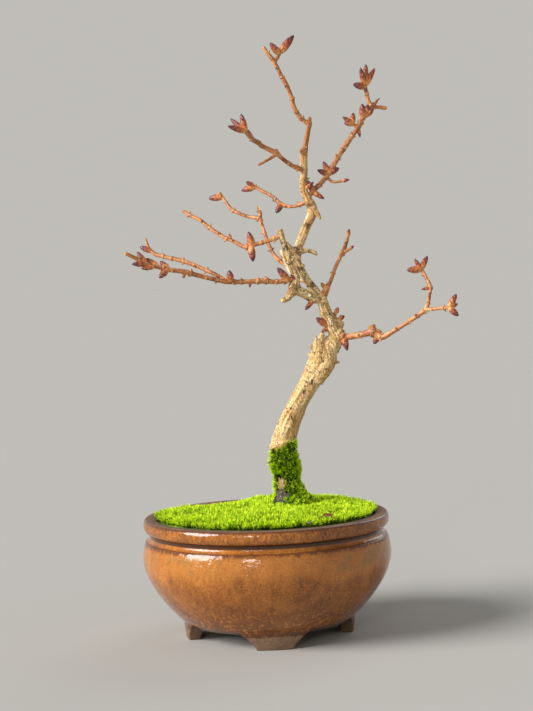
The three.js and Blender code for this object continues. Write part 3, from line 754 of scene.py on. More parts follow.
def carve(bm, lump, fissure):
    """Moves the skin by broad lumps and by grooves along the grain, and stores the grooves' depth,
    which the finishes darken as painted shade.
    """
    grain = bm.verts.layers.float_vector["grain"]
    hollow = bm.verts.layers.float.new("hollow")
    bm.normal_update()
    for vert in bm.verts:
        gx, gy, along = vert[grain]
        broad = noise.noise(vert.co * 0.16) + 0.6 * noise.noise(vert.co * 0.55)
        groove = abs(noise.noise(Vector((gx * 0.42, gy * 0.42, along * 0.03))))
        fibre = noise.noise(Vector((gx * 1.3, gy * 1.3, along * 0.08)))
        wrinkle = min(groove * 3.2, 1) - 0.7 + 0.35 * fibre
        # The depth of the grooves, kept for painted shade in them.
        vert[hollow] = min(max(-wrinkle * 1.5 - 0.15, 0), 1)
        vert.co += vert.normal * (lump * broad + fissure * wrinkle)


def grow(routes, voxel, joint_spacing, swell, lump, fissure, roundness=4, bark=0.0):
    """A finished limb from its routes, with `bark` mm of skin over them."""
    bm = bmesh.new()
    samples = []
    joints = []
    for order, route in enumerate(routes):
        path = smooth_route(route, max(0.6, route[0][3] * 0.25))
        places = [place for place, _, _ in path]
        radii = [radius + bark for _, radius, _ in path]
        add_tube(bm, places, radii, roundness)
        if radii[-1] < 2:
            add_ball(bm, places[-1], radii[-1] * 1.02)
        if joint_spacing and len(path) > 6 and order == 0:
            joints += add_joints(bm, path, joint_spacing, swell)
        samples += path
    melted(bm, voxel, 2)
    store_grain(bm, samples, joints)
    carve(bm, lump, fissure)
    return bm


# %% [markdown]
# ## The tree, limb by limb
# A route is a row of stops, each [x, y, z, radius] in millimetres about the pot's axis. The first
# stop lies inside the older limb that it grows from, so the joint closes. Later routes of a limb
# are its stubs, knobs and roots. The trunk leans over the pot and turns back at a scarred knee.

# %% Trunk and old limbs
TRUNK = [
    [
        [16, 10.5, 68, 9.5], [15.5, 10, 78, 9.2], [14.5, 9.5, 90, 7.4], [13, 8.6, 104, 6.9],
        [12.2, 8, 115, 7.4], [15, 7.4, 124.5, 7.3], [21.5, 6.3, 139, 6.2], [29, 4.3, 152, 6.1],
        [36.8, 2, 166, 7], [43.8, 0, 176, 6], [47.8, -1.6, 183, 4.8], [49.8, -2, 187.4, 3.2],
    ],
    [[49, -1.8, 187, 2.6], [50.2, -2, 189.2, 1.9]],
    [[47, -1.6, 182, 3.8], [43.6, -2.6, 190, 3.9], [40.6, -3.4, 198, 3.6], [38.6, -4, 205.5, 3]],
    [[11, 8, 114.5, 6.4], [8.1, 7.6, 118.5, 4.9]],
    [
        [6.2, 10, 113.6, 2], [5.8, 6, 114, 2.4], [8.6, 2.8, 115, 2.5], [13, 1.8, 116.8, 2.2],
        [17.5, 3.2, 119.4, 1.6],
    ],
    [[37.4, 0, 168, 6], [36.4, -1.8, 174.5, 4.7], [37.6, -2.6, 180, 3.2], [38.2, -3, 182.5, 1.8]],
    [[37, -1.4, 172, 3], [31.6, -4, 175.8, 1.2], [30.2, -4.4, 176.6, 0.5]],
    [[37, -3, 178, 3], [38.4, -4.6, 183.4, 1.2], [40, -5, 184.6, 0.5]],
    [[36, -3, 178, 2], [34.6, -4.8, 181.2, 0.9], [33.8, -5.2, 182.6, 0.4]],
    [[36, 0, 168, 5.6], [30.6, 0.4, 171, 1.1], [28.9, 0.8, 172.2, 0.4]],
    [[40, -0.6, 174, 6], [41.2, -1, 168, 5.8], [38.6, -0.2, 161.6, 5.2], [33.4, 2, 154, 4.4]],
    [[43, -1.4, 166.6, 2.6], [47.4, -2, 165.6, 0.9], [48.8, -2.4, 166.2, 0.4]],
    [[43, -2.6, 193, 3], [46.4, -2, 194.8, 1.6], [47.4, -1.8, 196.6, 1.1]],
    [[44.4, -2.6, 190, 3], [47.8, -2, 191.8, 1.6], [49.6, -1.8, 192.4, 1.1]],
    [[13, 7, 74, 5.5], [-4, -4, 66, 3.5], [-20, -16, 52, 2]],
    [[20, 7, 74, 5.5], [36, -6, 64, 3.4], [46, -16, 50, 1.8]],
    [[20, 14, 73, 5], [31, 28, 62, 3.2], [37, 37, 48, 1.8]],
    [[12, 13, 73, 5], [-4, 26, 62, 3], [-14, 35, 48, 1.6]],
]
LEADER = [
    [
        [39, -4, 205.2, 1.8], [35.2, -2.8, 210, 2.4], [29.2, -2.2, 218, 2.4], [24.8, -1, 227, 2.6],
        [24.4, 0.4, 232.5, 2.9], [26.2, 1.3, 237.5, 2.5], [30.8, 2.7, 248.5, 2.5],
        [35.4, 3.8, 258.5, 2.8], [33, 4, 265.5, 2.5], [30.6, 3.9, 272, 2.1], [31, 3.1, 284, 2],
        [31.1, 2.2, 292.5, 2.2], [32.2, 1.6, 298, 1.6], [34.2, 0.5, 308, 1.4], [35, 0, 311.5, 1.5],
        [35.6, 0, 315.5, 0.8],
    ],
    [[25, 0, 233.6, 1.8], [31, 0, 234.6, 1.2], [35.4, 0, 233.4, 1], [37, 0, 231.8, 0.5]],
    [[31.6, 1, 294.4, 2], [29.6, -0.6, 295.6, 1.2]],
    [[24.4, 0.4, 232, 3], [20.4, -1.6, 236.6, 1.6], [18.6, -2, 240, 0.7]],
    [[35.2, 3.6, 259, 2.6], [38.6, 2, 256.4, 1.2], [39.8, 1.6, 254, 0.5]],
]
KNEE_LIMB = [
    [
        [39.5, -4, 204.5, 1.8], [34.5, -5.6, 205.2, 2.4], [28.5, -7, 208.3, 2.5],
        [24, -8.6, 211, 2.6], [22.6, -9.2, 215.5, 2.5], [23.4, -8.6, 220, 2.3],
    ],
    [[22.5, -9.6, 211, 2.8], [19.6, -10.2, 208.4, 2], [17.6, -11, 206, 1.5], [15.4, -12, 205, 1.3]],
    [[23.6, -9, 212.6, 2.6], [19.4, -10.6, 214.4, 2.2]],
    [[34.5, -5.6, 205.6, 2.4], [33, -7, 209.4, 1], [31.4, -7.4, 211.6, 0.5]],
]
BLUNT_LIMB = [
    [
        [23.5, -8.5, 218.6, 2], [22.6, -8.8, 221.6, 2.3], [20.2, -9.5, 227.5, 2],
        [17.4, -11, 237, 1.9], [15.2, -12.4, 244.5, 1.9], [14.2, -12.8, 247.6, 2.05],
    ],
]
REAR_LIMB = [
    [
        [29.5, -2.4, 216.5, 1.8], [24.2, 2.4, 218.5, 1.7], [19.1, 5.4, 225, 1.6],
        [15.8, 7.6, 235, 1.3],
    ],
]

# %% Twigs
TWIGS = {
    "rear_branch": [
        [
            [18.5, 6, 226, 1.1], [13, 10, 230.5, 1.2], [10.2, 12.5, 234.5, 1.1],
            [7.4, 14.8, 241, 1.1], [4.2, 19, 252, 1], [3, 21, 256, 1.3],
            [-4.2, 25.2, 257.6, 1], [-13.5, 29.6, 262, 1],
            [-17.8, 33.8, 267.6, 0.9], [-20.4, 36, 271.4, 0.9],
        ],
        [[-20, 35.8, 270.6, 1], [-21, 36, 272, 1], [-21.6, 36, 273.4, 1.1]],
        [[3, 21, 255.5, 1], [3.6, 21.6, 259.5, 0.9], [1.8, 22, 262.5, 0.6]],
    ],
    "crooked_branch": [
        [
            [15.6, -12.3, 244, 1.3], [8.5, -12.6, 241.5, 1.2], [-0.8, -12.4, 239.2, 1.2],
            [-3.4, -12.2, 237.9, 1.5], [-8, -10.4, 238.4, 1.2], [-12.8, -8, 241.3, 1.1],
            [-20.6, -4.4, 245.4, 1.1], [-29, -0.6, 251.5, 1.1], [-33.8, 1.6, 255.8, 1.1],
            [-38.6, 4, 258.2, 1], [-44, 7, 261.8, 0.9],
        ],
    ],
    "lower_left_branch": [
        [
            [22.6, -9.4, 218, 1.6], [16.6, -11.6, 216.7, 1.5], [10.5, -13.2, 216.3, 1.4],
            [4.5, -14.8, 217.2, 1.7], [-4.6, -17, 217.1, 1.4], [-15.4, -20.2, 217.2, 1.4],
            [-22, -22, 218.2, 1.4], [-34, -25.2, 221.4, 1.3], [-43, -28, 224.2, 1.4],
            [-53, -30.4, 226, 1.2], [-63.4, -33, 229, 1.1], [-72, -35.4, 233.5, 1],
            [-77.5, -38, 236.4, 1],
        ],
        [[-43, -28, 224.2, 1], [-44, -28.4, 221.2, 0.7]],
    ],
    "lower_left_fork": [
        [
            [-18.6, -20.8, 217.6, 1.2], [-25.5, -17.6, 222.2, 1.2], [-34.5, -13.6, 226.6, 1.1],
            [-44, -10, 230.6, 1.3], [-55.6, -6.6, 233.8, 1.1], [-61.2, -3.8, 235.6, 1.2],
            [-64.4, -2, 238, 1],
        ],
        [[-64, -2.2, 237.8, 0.9], [-66, -1.4, 241, 0.8], [-67.2, -0.4, 245.4, 0.5]],
    ],
    "small_left_twig": [
        [
            [32.5, 4, 264.5, 1.3], [27, 6, 262.6, 1], [21.8, 8.4, 262.2, 1], [16.4, 11.2, 264, 1.3],
            [11, 14.2, 269.3, 1], [5, 17.1, 272.9, 1], [0.2, 20, 276, 0.9],
        ],
    ],
    "upper_left_branch": [
        [
            [31, 3, 283.6, 1.4], [23.6, -2, 286.7, 1.3], [16.4, -6.6, 292, 1.3],
            [14.4, -8.2, 293.9, 1.6], [5.6, -12.2, 298.4, 1.3], [3.8, -13.8, 300.1, 1.5],
            [-0.3, -16.2, 302.5, 1.3], [-4.3, -20, 307.1, 1.2],
        ],
        [[13.9, -8.6, 293, 1], [8.3, -12.6, 289.6, 0.8], [2.8, -16, 286.6, 0.6]],
    ],
    "upper_right_branch": [
        [
            [32.4, 4, 266.8, 1.6], [36.8, 6.2, 271.6, 1.5], [42, 8.2, 276.6, 1.5],
            [46.4, 9.8, 282, 1.6], [53.2, 12.5, 292.4, 1.4], [57.8, 14.6, 299.2, 1.8],
            [63.9, 16.8, 307.2, 1.4], [66, 17.8, 310, 1.7], [70, 19.9, 316.5, 1.4],
            [74.6, 22, 322.1, 1.5], [73, 21.6, 327.7, 1.2], [71, 20, 337, 1.1],
        ],
        [[74, 22, 322, 1.3], [79, 23, 322.6, 1.1], [83.6, 24, 322, 1.2]],
        [[76, 22.4, 322.4, 1], [78.4, 22.8, 326.4, 0.6], [80.4, 23, 328, 0.4]],
        [[45, 9.4, 279.6, 1], [48.8, 8.4, 276.4, 0.8], [54.7, 4, 276.5, 0.8]],
        [[66, 17.8, 310, 1.1], [62, 17.2, 312.6, 0.9]],
    ],
    "apex_branch": [
        [
            [35.2, 0, 311.2, 1.3], [29.5, -1.2, 316, 1.3], [26, -2.5, 322, 1.4],
            [24.4, -3.7, 329, 1.1], [21, -5, 337, 1.3], [18.8, -5.6, 341.3, 1.1],
            [14.8, -6.8, 349.2, 1.2], [10.8, -7.4, 355, 1.1], [8.6, -8, 358, 1],
        ],
        [[15, -6.8, 349, 1.1], [17.6, -6, 352.6, 1], [18.6, -6, 355, 1]],
    ],
    "right_middle_twig": [
        [
            [39.4, -3.4, 205.6, 1.4], [41.2, 0, 209.8, 1.3], [44.6, 4, 214.5, 1.2],
            [48, 8, 222.8, 1.1], [52.3, 12, 230.8, 1.1], [53.8, 14, 232.6, 1.4],
            [57.6, 19.6, 243, 0.9],
        ],
        [[53.8, 14, 232.6, 1], [58.4, 12.6, 235, 0.8]],
        [[39.4, -3.4, 205.6, 2.4], [41.6, -0.4, 209.6, 2.1], [43.4, 2.6, 213, 1.6]],
        [[42.6, 1, 211, 1.6], [40, 0.4, 213, 1.1], [39.4, 0.2, 214.4, 0.7]],
    ],
    "right_branch": [
        [
            [46, -2.6, 182, 2.4], [54, -6, 181.3, 1.9], [62, -9.8, 182.4, 1.8],
            [68.4, -12.4, 183.6, 2.2], [73.8, -15.4, 180.6, 1.6], [78.6, -17.8, 182.7, 1.3],
            [90.5, -22, 190, 1.2], [100.6, -26, 196.8, 1.4],
        ],
        [[69.4, -12.4, 183.4, 2.4], [67.8, -12, 188, 2.3]],
        [[69.4, -12.4, 184, 2], [72.4, -12.6, 183.4, 1.8]],
        [[69, -12.4, 183, 1.8], [71.4, -12.4, 179.2, 1.4]],
    ],
    "right_upper_fork": [
        [
            [99.6, -25.6, 196, 1.1], [101.5, -24.2, 200, 1.1], [103.2, -21.6, 207.5, 1],
            [103.8, -20, 209.5, 1.3], [101.6, -17, 215.4, 1], [99, -14, 221.2, 1],
        ],
    ],
    "right_side_fork": [
        [[99.8, -25.8, 196.4, 1.1], [106, -30, 196.9, 1], [113.4, -34, 197.6, 1]],
    ],
}

# %% Grow the tree
TRUNK_VOXEL = 0.42
LIMB_VOXEL = 0.27
TWIG_VOXEL = 0.24

trunk_wood = grow(TRUNK, TRUNK_VOXEL, 0, 1, 0.45, 0.3, roundness=6)
hand_over(trunk_wood, "trunk_wood", BARK, ["trunk"])
leader_wood = grow(LEADER, LIMB_VOXEL, 17, 1.22, 0.22, 0.2, bark=0.25)
hand_over(leader_wood, "leader_wood", BARK, ["leader"])
knee_limb_wood = grow(KNEE_LIMB, LIMB_VOXEL, 11, 1.2, 0.24, 0.2, bark=0.5)
hand_over(knee_limb_wood, "knee_limb_wood", BARK, ["knee_limb"])
blunt_limb_wood = grow(BLUNT_LIMB, LIMB_VOXEL, 12, 1.2, 0.2, 0.2)
hand_over(blunt_limb_wood, "blunt_limb_wood", BARK, ["blunt_limb"])
rear_limb_wood = grow(REAR_LIMB, LIMB_VOXEL, 0, 1, 0.2, 0.3)
hand_over(rear_limb_wood, "rear_limb_wood", DEADWOOD, ["rear_limb"])
for twig_name, twig_routes in TWIGS.items():
    hand_over(
        grow(twig_routes, TWIG_VOXEL, 7, 1.45, 0.12, 0.1, bark=0.12),
        twig_name + "_wood",
        TWIG,
        [twig_name],
    )

# %% [markdown]
# ## Winter buds
# A winter bud is a pointed egg wrapped in overlapping scales, set in pairs, each pair square to
# the one below. The scales are orange-brown where light reaches their base and dark purple at the
# tip. Each scale here is a small curved sheet laid on the egg and given a thickness. Every vertex
# stores how far up its scale it lies, so that the finish can darken towards the tips.

# %% Bud finish
def bud_finish():
    f = Finish(bpy.data.materials.new("bud_scales"))
    rise = f.stored("rise")
    shade = f.stored("shade")
    mottle = f.noise(f.place, 1.5, 4, 0.6)
    tone = f.ramp(
        rise * 0.84 + (mottle - 0.5) * 0.5 + (shade - 0.5) * 0.16,
        (0.05, colour(234, 168, 102)),
        (0.28, colour(204, 122, 66)),
        (0.46, colour(152, 80, 52)),
        (0.62, colour(104, 56, 60)),
        (0.85, colour(72, 44, 64)),
    )
    relief = f.bump(f.noise(f.place, 3.2, 3), 0.08)
    return f.done({"Base Color": tone, "Roughness": 0.2 + mottle * 0.24, "Normal": relief})


BUD = bud_finish()


# %% One scale, one bud
def egg_radius(height):
    """Radius of the bud's body at a height from 0 to 1, for a greatest radius of 1."""
    return max(math.sin(math.pi * min(0.13 + 0.87 * height**0.85, 1)), 0) ** 0.55


def add_scale(bm, rise, azimuth, start, reach, proud):
    """A scale on the unit bud: a sheet from `start`, `reach` long, narrowing to a tip."""
    grid = bmesh.ops.create_grid(bm, x_segments=6, y_segments=6, size=1)
    for vert in grid["verts"]:
        across, up = vert.co.x, (vert.co.y + 1) / 2
        height = min(start + reach * up, 1)
        taper = math.sqrt(max(1 - up**2.6, 0.004))
        angle = azimuth + across * 1.3 * taper
        radius = egg_radius(height) + proud * (1 - across * across * 0.6) * (0.5 + 0.5 * up) + 0.03
        vert.co = (radius * math.cos(angle), radius * math.sin(angle), height)
        vert[rise] = 0.45 * up + 0.55 * height


def add_bud(bm, start, tip, radius, shade_value, pairs=4):
    """A scaled bud from `start` to `tip`."""
    rise = bm.verts.layers.float.get("rise") or bm.verts.layers.float.new("rise")
    shade = bm.verts.layers.float.get("shade") or bm.verts.layers.float.new("shade")
    bud = bmesh.new()
    bud_rise = bud.verts.layers.float.new("rise")
    turn = chance.uniform(0, math.pi)
    for pair in range(pairs):
        share = pair / pairs
        for side in (0, math.pi):
            azimuth = turn + side + pair * math.pi / 2 + chance.uniform(-0.12, 0.12)
            reach = 0.46 - share * 0.12
            add_scale(bud, bud_rise, azimuth, share * 0.66, reach, 0.12 * (1 - share))
    bmesh.ops.solidify(bud, geom=bud.faces[:], thickness=0.06)
    core = [(0, 0)] + [(egg_radius(h / 12) * 0.99, h / 12) for h in range(12)] + [(0, 1.0)]
    turned(bud, core, 10)
    for vert in bud.verts:
        vert[bud_rise] = max(vert[bud_rise], 0.95 * vert.co.z**1.7)
    along = Vector(tip) - Vector(start)
    turn_to = UP.rotation_difference(along).to_matrix().to_4x4()
    size = Matrix.Diagonal((radius * 1.22, radius * 1.22, along.length, 1))
    bud.transform(Matrix.Translation(start) @ turn_to @ size)
    known = len(bm.verts)
    absorb(bm, bud)
    bm.verts.ensure_lookup_table()
    for vert in bm.verts[known:]:
        vert[shade] = shade_value


# %% [markdown]
# Each large bud is a piece of its own, placed by where it starts inside its twig, its tip, and its
# radius. They sit in clusters at the tips, where next year's growth is stored.

# %% Large buds
BUDS = {
    "trunk_bud": ([41.4, -3.8, 188.6], [34.8, -6.4, 193.6], 1.7),
    "knee_bud": ([34, -5.8, 205], [28.2, -8.8, 198.4], 1.2),
    "apex_bud_left": ([18, -6.4, 354], [12.6, -9.4, 360.4], 1.6),
    "apex_bud_right": ([19, -5.8, 355], [27.6, -4, 365.3], 1.8),
    "upper_left_bud_top": ([-4, -19.8, 306.8], [-6.3, -19, 317.6], 1.5),
    "upper_left_bud_rear": ([-4.2, -19.6, 307], [-13, -15.6, 315.2], 1.3),
    "upper_left_bud_front": ([-4, -20, 306.6], [-14.6, -25, 310], 1.4),
    "upper_left_bud_inner": ([-0.6, -16.4, 302.8], [-3, -13, 308.6], 1.2),
    "upper_right_bud_low": ([71.3, 20.3, 335], [63.6, 17, 336.6], 1.7),
    "upper_right_bud_left": ([71, 20, 336.4], [68.6, 17.6, 347], 1.4),
    "upper_right_bud_top": ([71.2, 20.2, 336.4], [72.6, 22.4, 349.5], 1.6),
    "upper_right_bud_right": ([71.4, 20, 335.8], [78.2, 23.4, 347], 1.4),
    "node_bud_upper": ([62.4, 17.2, 312.2], [63.4, 18.6, 319.4], 1.4),
    "node_bud_left": ([62.8, 17.2, 312], [56.4, 15, 316.8], 1.3),
    "shoot_bud_tall": ([69.6, 19.8, 316], [69, 17.4, 324.6], 1.8),
    "mid_bud_upper": ([46.4, 9.8, 282.2], [43.3, 11.4, 289.4], 1.5),
    "mid_bud_left": ([45.8, 9.6, 281.2], [39.2, 6.6, 284], 1.3),
    "mid_bud_right": ([46.2, 9.8, 281.8], [53, 7.8, 284.8], 1.5),
    "fork_bud_upper": ([36.2, 5.9, 271], [32.8, 1.6, 277.6], 1.4),
    "fork_bud_lower": ([36, 5.8, 270.8], [43, 2.8, 265.8], 1.2),
    "small_left_bud_low": ([16.6, 11.2, 264], [13, 8.8, 258.4], 1.5),
    "small_left_bud_tip": ([0.6, 19.8, 275.8], [-8, 21, 273.6], 1.6),
    "crooked_bud_upper": ([-2.4, -12.2, 238.4], [-4.4, -12.4, 247.3], 1.7),
    "crooked_bud_lower": ([-3.2, -12.2, 238], [-2.2, -14.2, 228.8], 1.7),
    "rear_bud": ([-20, 35.8, 271], [-28.8, 38, 270.2], 1.7),
    "junction_bud": ([18.6, -10.9, 217.1], [12, -12.8, 225], 1.7),
    "lower_left_bud_1": ([-16.1, -20.4, 217.3], [-16.8, -21.6, 224.4], 1.7),
    "lower_left_bud_2": ([-52.8, -30.4, 226], [-57.6, -27, 231.2], 1.5),
    "lower_left_bud_3": ([-53.2, -30.4, 226], [-58.4, -33.6, 221], 1.5),
    "lower_left_bud_4": ([-58.8, -31.8, 227.5], [-66, -29.6, 233.2], 1.5),
    "lower_left_bud_5": ([-66, -33.8, 230.2], [-71, -31.6, 237.2], 1.4),
    "fork_tip_bud": ([-64, -2.2, 237.7], [-71, -1, 240.6], 1.4),
    "right_tip_bud_upper": ([99, -14.2, 220.8], [103.6, -11, 228.8], 1.4),
    "right_tip_bud_side": ([99.2, -14.2, 220.7], [90, -16.4, 220.6], 1.7),
    "side_tip_bud_upper": ([113, -33.8, 197.5], [117.6, -34, 205.4], 1.5),
    "side_tip_bud_lower": ([113, -33.8, 197.5], [118, -37, 192.2], 1.5),
}
for bud_name, (bud_start, bud_tip, bud_radius) in BUDS.items():
    bud_mesh = bmesh.new()
    add_bud(bud_mesh, bud_start, bud_tip, bud_radius, chance.random())
    hand_over(bud_mesh, bud_name + "_scales", BUD, [bud_name])

# %% Small buds
SMALL_BUDS = [
    ([63, 17.4, 312], [57.4, 20, 313.2], 1.2), ([54.2, 4.2, 276.5], [58.6, 2, 277.2], 0.9),
    ([70.7, 19.6, 317], [72.8, 18, 324.2], 1.7),
    ([71.4, 20, 317.4], [76, 17.6, 321.2], 1.5), ([0.2, 20, 276], [-4.8, 18, 279], 1.2),
    ([-15.4, -6.8, 242.2], [-16, -7, 246.6], 0.8), ([113.2, -34, 197.5], [118.6, -31, 199.5], 1.1),
    ([71.1, -12.2, 180], [69, -14.2, 176.6], 1.3), ([98.8, -14.2, 221], [95.2, -15, 227.2], 1.1),
    ([-65.2, -33.5, 229.9], [-74, -36.4, 229.8], 1.4),
    ([51.3, -4.9, 181.5], [53.2, -8, 172.8], 1.6),
    ([58.2, 12.7, 235], [60.6, 12, 236.8], 0.7), ([-61, -32.4, 228], [-68.6, -36, 227], 1.3),
    ([-4.6, -17, 216.8], [-4.8, -18.4, 213.4], 0.7), ([57.5, 19.5, 242.6], [58.6, 21, 247.6], 1),
    ([41.2, -4, 186.6], [38, -6.8, 184.4], 1.1), ([103.8, -20, 209.5], [98, -21, 208.6], 0.8),
    ([66, 18, 310], [67, 17, 303.6], 0.9), ([24.8, -9, 214], [20, -12.4, 220.6], 1.2),
    ([31.8, 2.6, 272.6], [36.6, 0.6, 276.4], 1),
    ([47.2, -2, 195.8], [48.8, -3, 199.4], 1.1), ([49, -1.8, 192.2], [52.6, -2, 194], 1.2),
]
small_buds = bmesh.new()
for bud_start, bud_tip, bud_radius in SMALL_BUDS:
    add_bud(small_buds, bud_start, bud_tip, bud_radius, chance.random(), pairs=3)
hand_over(small_buds, "small_buds", BUD)


# %% [markdown]
# ## Soil
# Only a strip of soil shows, at the back where the moss has drawn away from the wall, and a little
# between the roots. Bonsai soil is crumbs of baked clay and bark a millimetre or two across. A
# turned dome fills the pot, and a scatter of rough crumbs lies where soil can be seen.

# %% Soil finish and fill
def soil_finish():
    f = Finish(bpy.data.materials.new("potting_soil"))
    crumbs = f.cells(f.place, 0.8, "Color")
    damp = f.noise(f.place, 0.12, 3)
    tone = f.ramp(
        f.part(crumbs, "X") * 0.6 + damp * 0.4,
        (0.2, colour(26, 18, 14)),
        (0.55, colour(58, 40, 28)),
        (0.85, colour(98, 72, 50)),
    )
    relief = f.cells(f.place, 0.8) * -1 + f.noise(f.place, 3, 3) * 0.5
    return f.done({"Base Color": tone, "Roughness": 0.9, "Normal": f.bump(relief, 0.6)})


SOIL = soil_finish()


def soil_height(x, y):
    return 74.4 - 5.4 * (math.hypot(x, y) / 66.9) ** 3


def model_soil():
    outline = [(r, soil_height(r, 0)) for r in (0, 12, 24, 36, 46, 54, 60, 64, 66.6)]
    outline += [(67, 66), (69.4, 56), (69.8, 46), (66, 33), (57, 23), (45.6, 16), (0, 16)]
    bm = bmesh.new()
    turned(bm, outline, 72)
    recess = bmesh.new()
    over_mesh = Matrix.Translation((0, 0, FLOOR_TOP)) @ Matrix.Diagonal((29, 29, 6, 1))
    bmesh.ops.create_cube(recess, size=1, matrix=over_mesh)
    cut(bm, recess, "DIFFERENCE")
    return bm


hand_over(model_soil(), "soil_fill", SOIL, ["soil"], 40)


# %% [markdown]
# ## Scattering one small shape
# Crumbs and moss shoots repeat thousands of times. Each is modelled once with operators, then
# copied by numpy: every copy is turned, scaled and shifted, and carries the shades its finish
# reads.

# %% Scatter
def shape_arrays(bm):
    """The points, triangles and stored rise of a small shape."""
    bmesh.ops.triangulate(bm, faces=bm.faces)
    rise = bm.verts.layers.float["rise"]
    bm.verts.index_update()
    points = np.array([v.co for v in bm.verts])
    faces = np.array([[v.index for v in f.verts] for f in bm.faces])
    rises = np.array([v[rise] for v in bm.verts])
    bm.free()
    return points, faces, rises


def scatter(name, finish, shapes, places):
    """Copies shapes to places, each (shape number, matrix, shade), as one piece."""
    points, faces, rises, shades = [], [], [], []
    known = 0
    for number, matrix, shade in places:
        shape_points, shape_faces, shape_rises = shapes[number]
        turn = np.array(matrix.to_3x3())
        points.append(shape_points @ turn.T + np.array(matrix.translation))
        faces.append(shape_faces + known)
        rises.append(shape_rises)
        shades.append(np.full(len(shape_points), shade))
        known += len(shape_points)
    mesh = bpy.data.meshes.new(name)
    mesh.from_pydata(np.concatenate(points).tolist(), [], np.concatenate(faces).tolist())
    for layer, numbers in (("rise", rises), ("shade", shades)):
        stored = mesh.attributes.new(layer, "FLOAT", "POINT")
        stored.data.foreach_set("value", np.concatenate(numbers).astype(np.float32))
    bm = bmesh.new()
    bm.from_mesh(mesh)
    bpy.data.meshes.remove(mesh)
    hand_over(bm, name, finish, sharp=40)


# %% Soil crumbs
def crumb():
    bm = bmesh.new()
    bmesh.ops.create_icosphere(bm, subdivisions=1, radius=1)
    bm.verts.layers.float.new("rise")
    for vert in bm.verts:
        vert.co *= chance.uniform(0.65, 1.15)
    return shape_arrays(bm)


def crumb_places(count):
    places = []
    while len(places) < count:
        azimuth = math.radians(chance.gauss(128, 22))
        radius = chance.uniform(50, 66)
        if chance.random() < 0.2:
            azimuth = chance.uniform(0, math.tau)
            radius = chance.uniform(65, 66.4)
        x, y = radius * math.cos(azimuth), radius * math.sin(azimuth)
        spin = Quaternion((chance.random(), chance.random(), 1), chance.uniform(0, 6)).to_matrix()
        size = chance.uniform(0.4, 1.1)
        spot = Matrix.Translation((x, y, soil_height(x, y) + size * 0.4))
        places.append((chance.randrange(4), spot @ spin.to_4x4() @ Matrix.Scale(size, 4), 0.5))
    return places


CRUMB_COUNT = 1100
crumbs = [crumb() for _ in range(4)]
scatter("soil_crumbs", SOIL, crumbs, crumb_places(CRUMB_COUNT))


# %% [markdown]
# ## Moss
# Cushion moss is thousands of upright shoots, each a stem three to five millimetres tall with
# narrow leaves all round it. Seen from the side it is a bright velvet edge; from above, a field of
# stars. One shoot is modelled with a few dozen faces, in several variants, over a dark green bed
# that closes the gaps; the bed's darkness is partly painted shade between the shoots. New tips are
# yellow-green and the old bases dark, partly as painted shade deep in the cushion, so each vertex
# stores its height on it.

# %% Moss finish
def moss_finish():
    f = Finish(bpy.data.materials.new("cushion_moss"))
    rise = f.stored("rise")
    shade = f.stored("shade")
    patch = f.noise(f.place, 0.07, 3)
    tone = rise * 0.85 + (shade - 0.5) * 0.46 + (patch - 0.5) * 0.5
    green = f.ramp(
        tone,
        (0.08, colour(20, 28, 8)),
        (0.24, colour(76, 108, 6)),
        (0.46, colour(168, 212, 6)),
        (0.76, colour(232, 252, 56)),
    )
    return f.done({"Base Color": green, "Roughness": 0.55, "Specular IOR Level": 0.2})


MOSS = moss_finish()


# %% One shoot
def add_leaf(bm, base, tilt, azimuth, length, width):
    """A narrow pointed leaf: a three-sided cone, flattened and tilted outwards."""
    squash = Matrix.Diagonal((1, 0.4, 1, 1))
    lean = Matrix.Rotation(azimuth, 4, "Z") @ Matrix.Rotation(tilt, 4, "Y")
    on_foot = Matrix.Translation((0, 0, length / 2))
    matrix = Matrix.Translation((0, 0, base)) @ lean @ squash @ on_foot
    leaf = bmesh.ops.create_cone(
        bm, cap_ends=True, segments=3, radius1=width, radius2=0, depth=length, matrix=matrix
    )
    bmesh.ops.remove_doubles(bm, verts=leaf["verts"], dist=0.001)


def moss_shoot(leaves, spread, contrast=1.0):
    """A shoot about 1 unit tall: leaves in a spiral up an unseen stem, and one at its top."""
    bm = bmesh.new()
    rise = bm.verts.layers.float.new("rise")
    for leaf in range(leaves):
        share = leaf / leaves
        azimuth = leaf * 2.4 + chance.uniform(-0.3, 0.3)
        tilt = spread * (1.15 - 0.55 * share) * chance.uniform(0.85, 1.15)
        add_leaf(bm, 0.1 + 0.5 * share, tilt, azimuth, 0.55, 0.11)
    add_leaf(bm, 0.0, 0.05, 0, 1.0, 0.12)
    for vert in bm.verts:
        vert[rise] = min(max(vert.co.z * 0.75 + vert.co.xy.length * 0.6, 0) ** contrast, 1)
    return shape_arrays(bm)


CARPET_SHOOTS = [moss_shoot(6, spread) for spread in (0.3, 0.45, 0.6, 0.8)]
# The sleeve's shoots darken more steeply towards their bases: painted shade between the shoots,
# over the darker old bases.
SLEEVE_SHOOTS = [moss_shoot(7, spread, 2.0) for spread in (0.7, 0.85, 1.0, 1.15)]
print("triangles in one shoot:", len(CARPET_SHOOTS[0][1]))


# %% The carpet's lie
BARE_AZIMUTH = math.radians(128)
BARE_SPREAD = math.radians(15)
BED_RADIUS = 67
TRUNK_FOOT = Vector((15.5, 10))
TRUNK_CLEARANCE = 8.5


def carpet_edge(azimuth):
    """How far the moss reaches from the pot's axis in one direction."""
    away = math.remainder(azimuth - BARE_AZIMUTH, math.tau) / BARE_SPREAD
    fringe = noise.noise(Vector((math.cos(azimuth) * 5, math.sin(azimuth) * 5, 3.1)))
    return 66.9 - 11 * math.exp(-(away**2)) + 1.2 * min(fringe, 0)


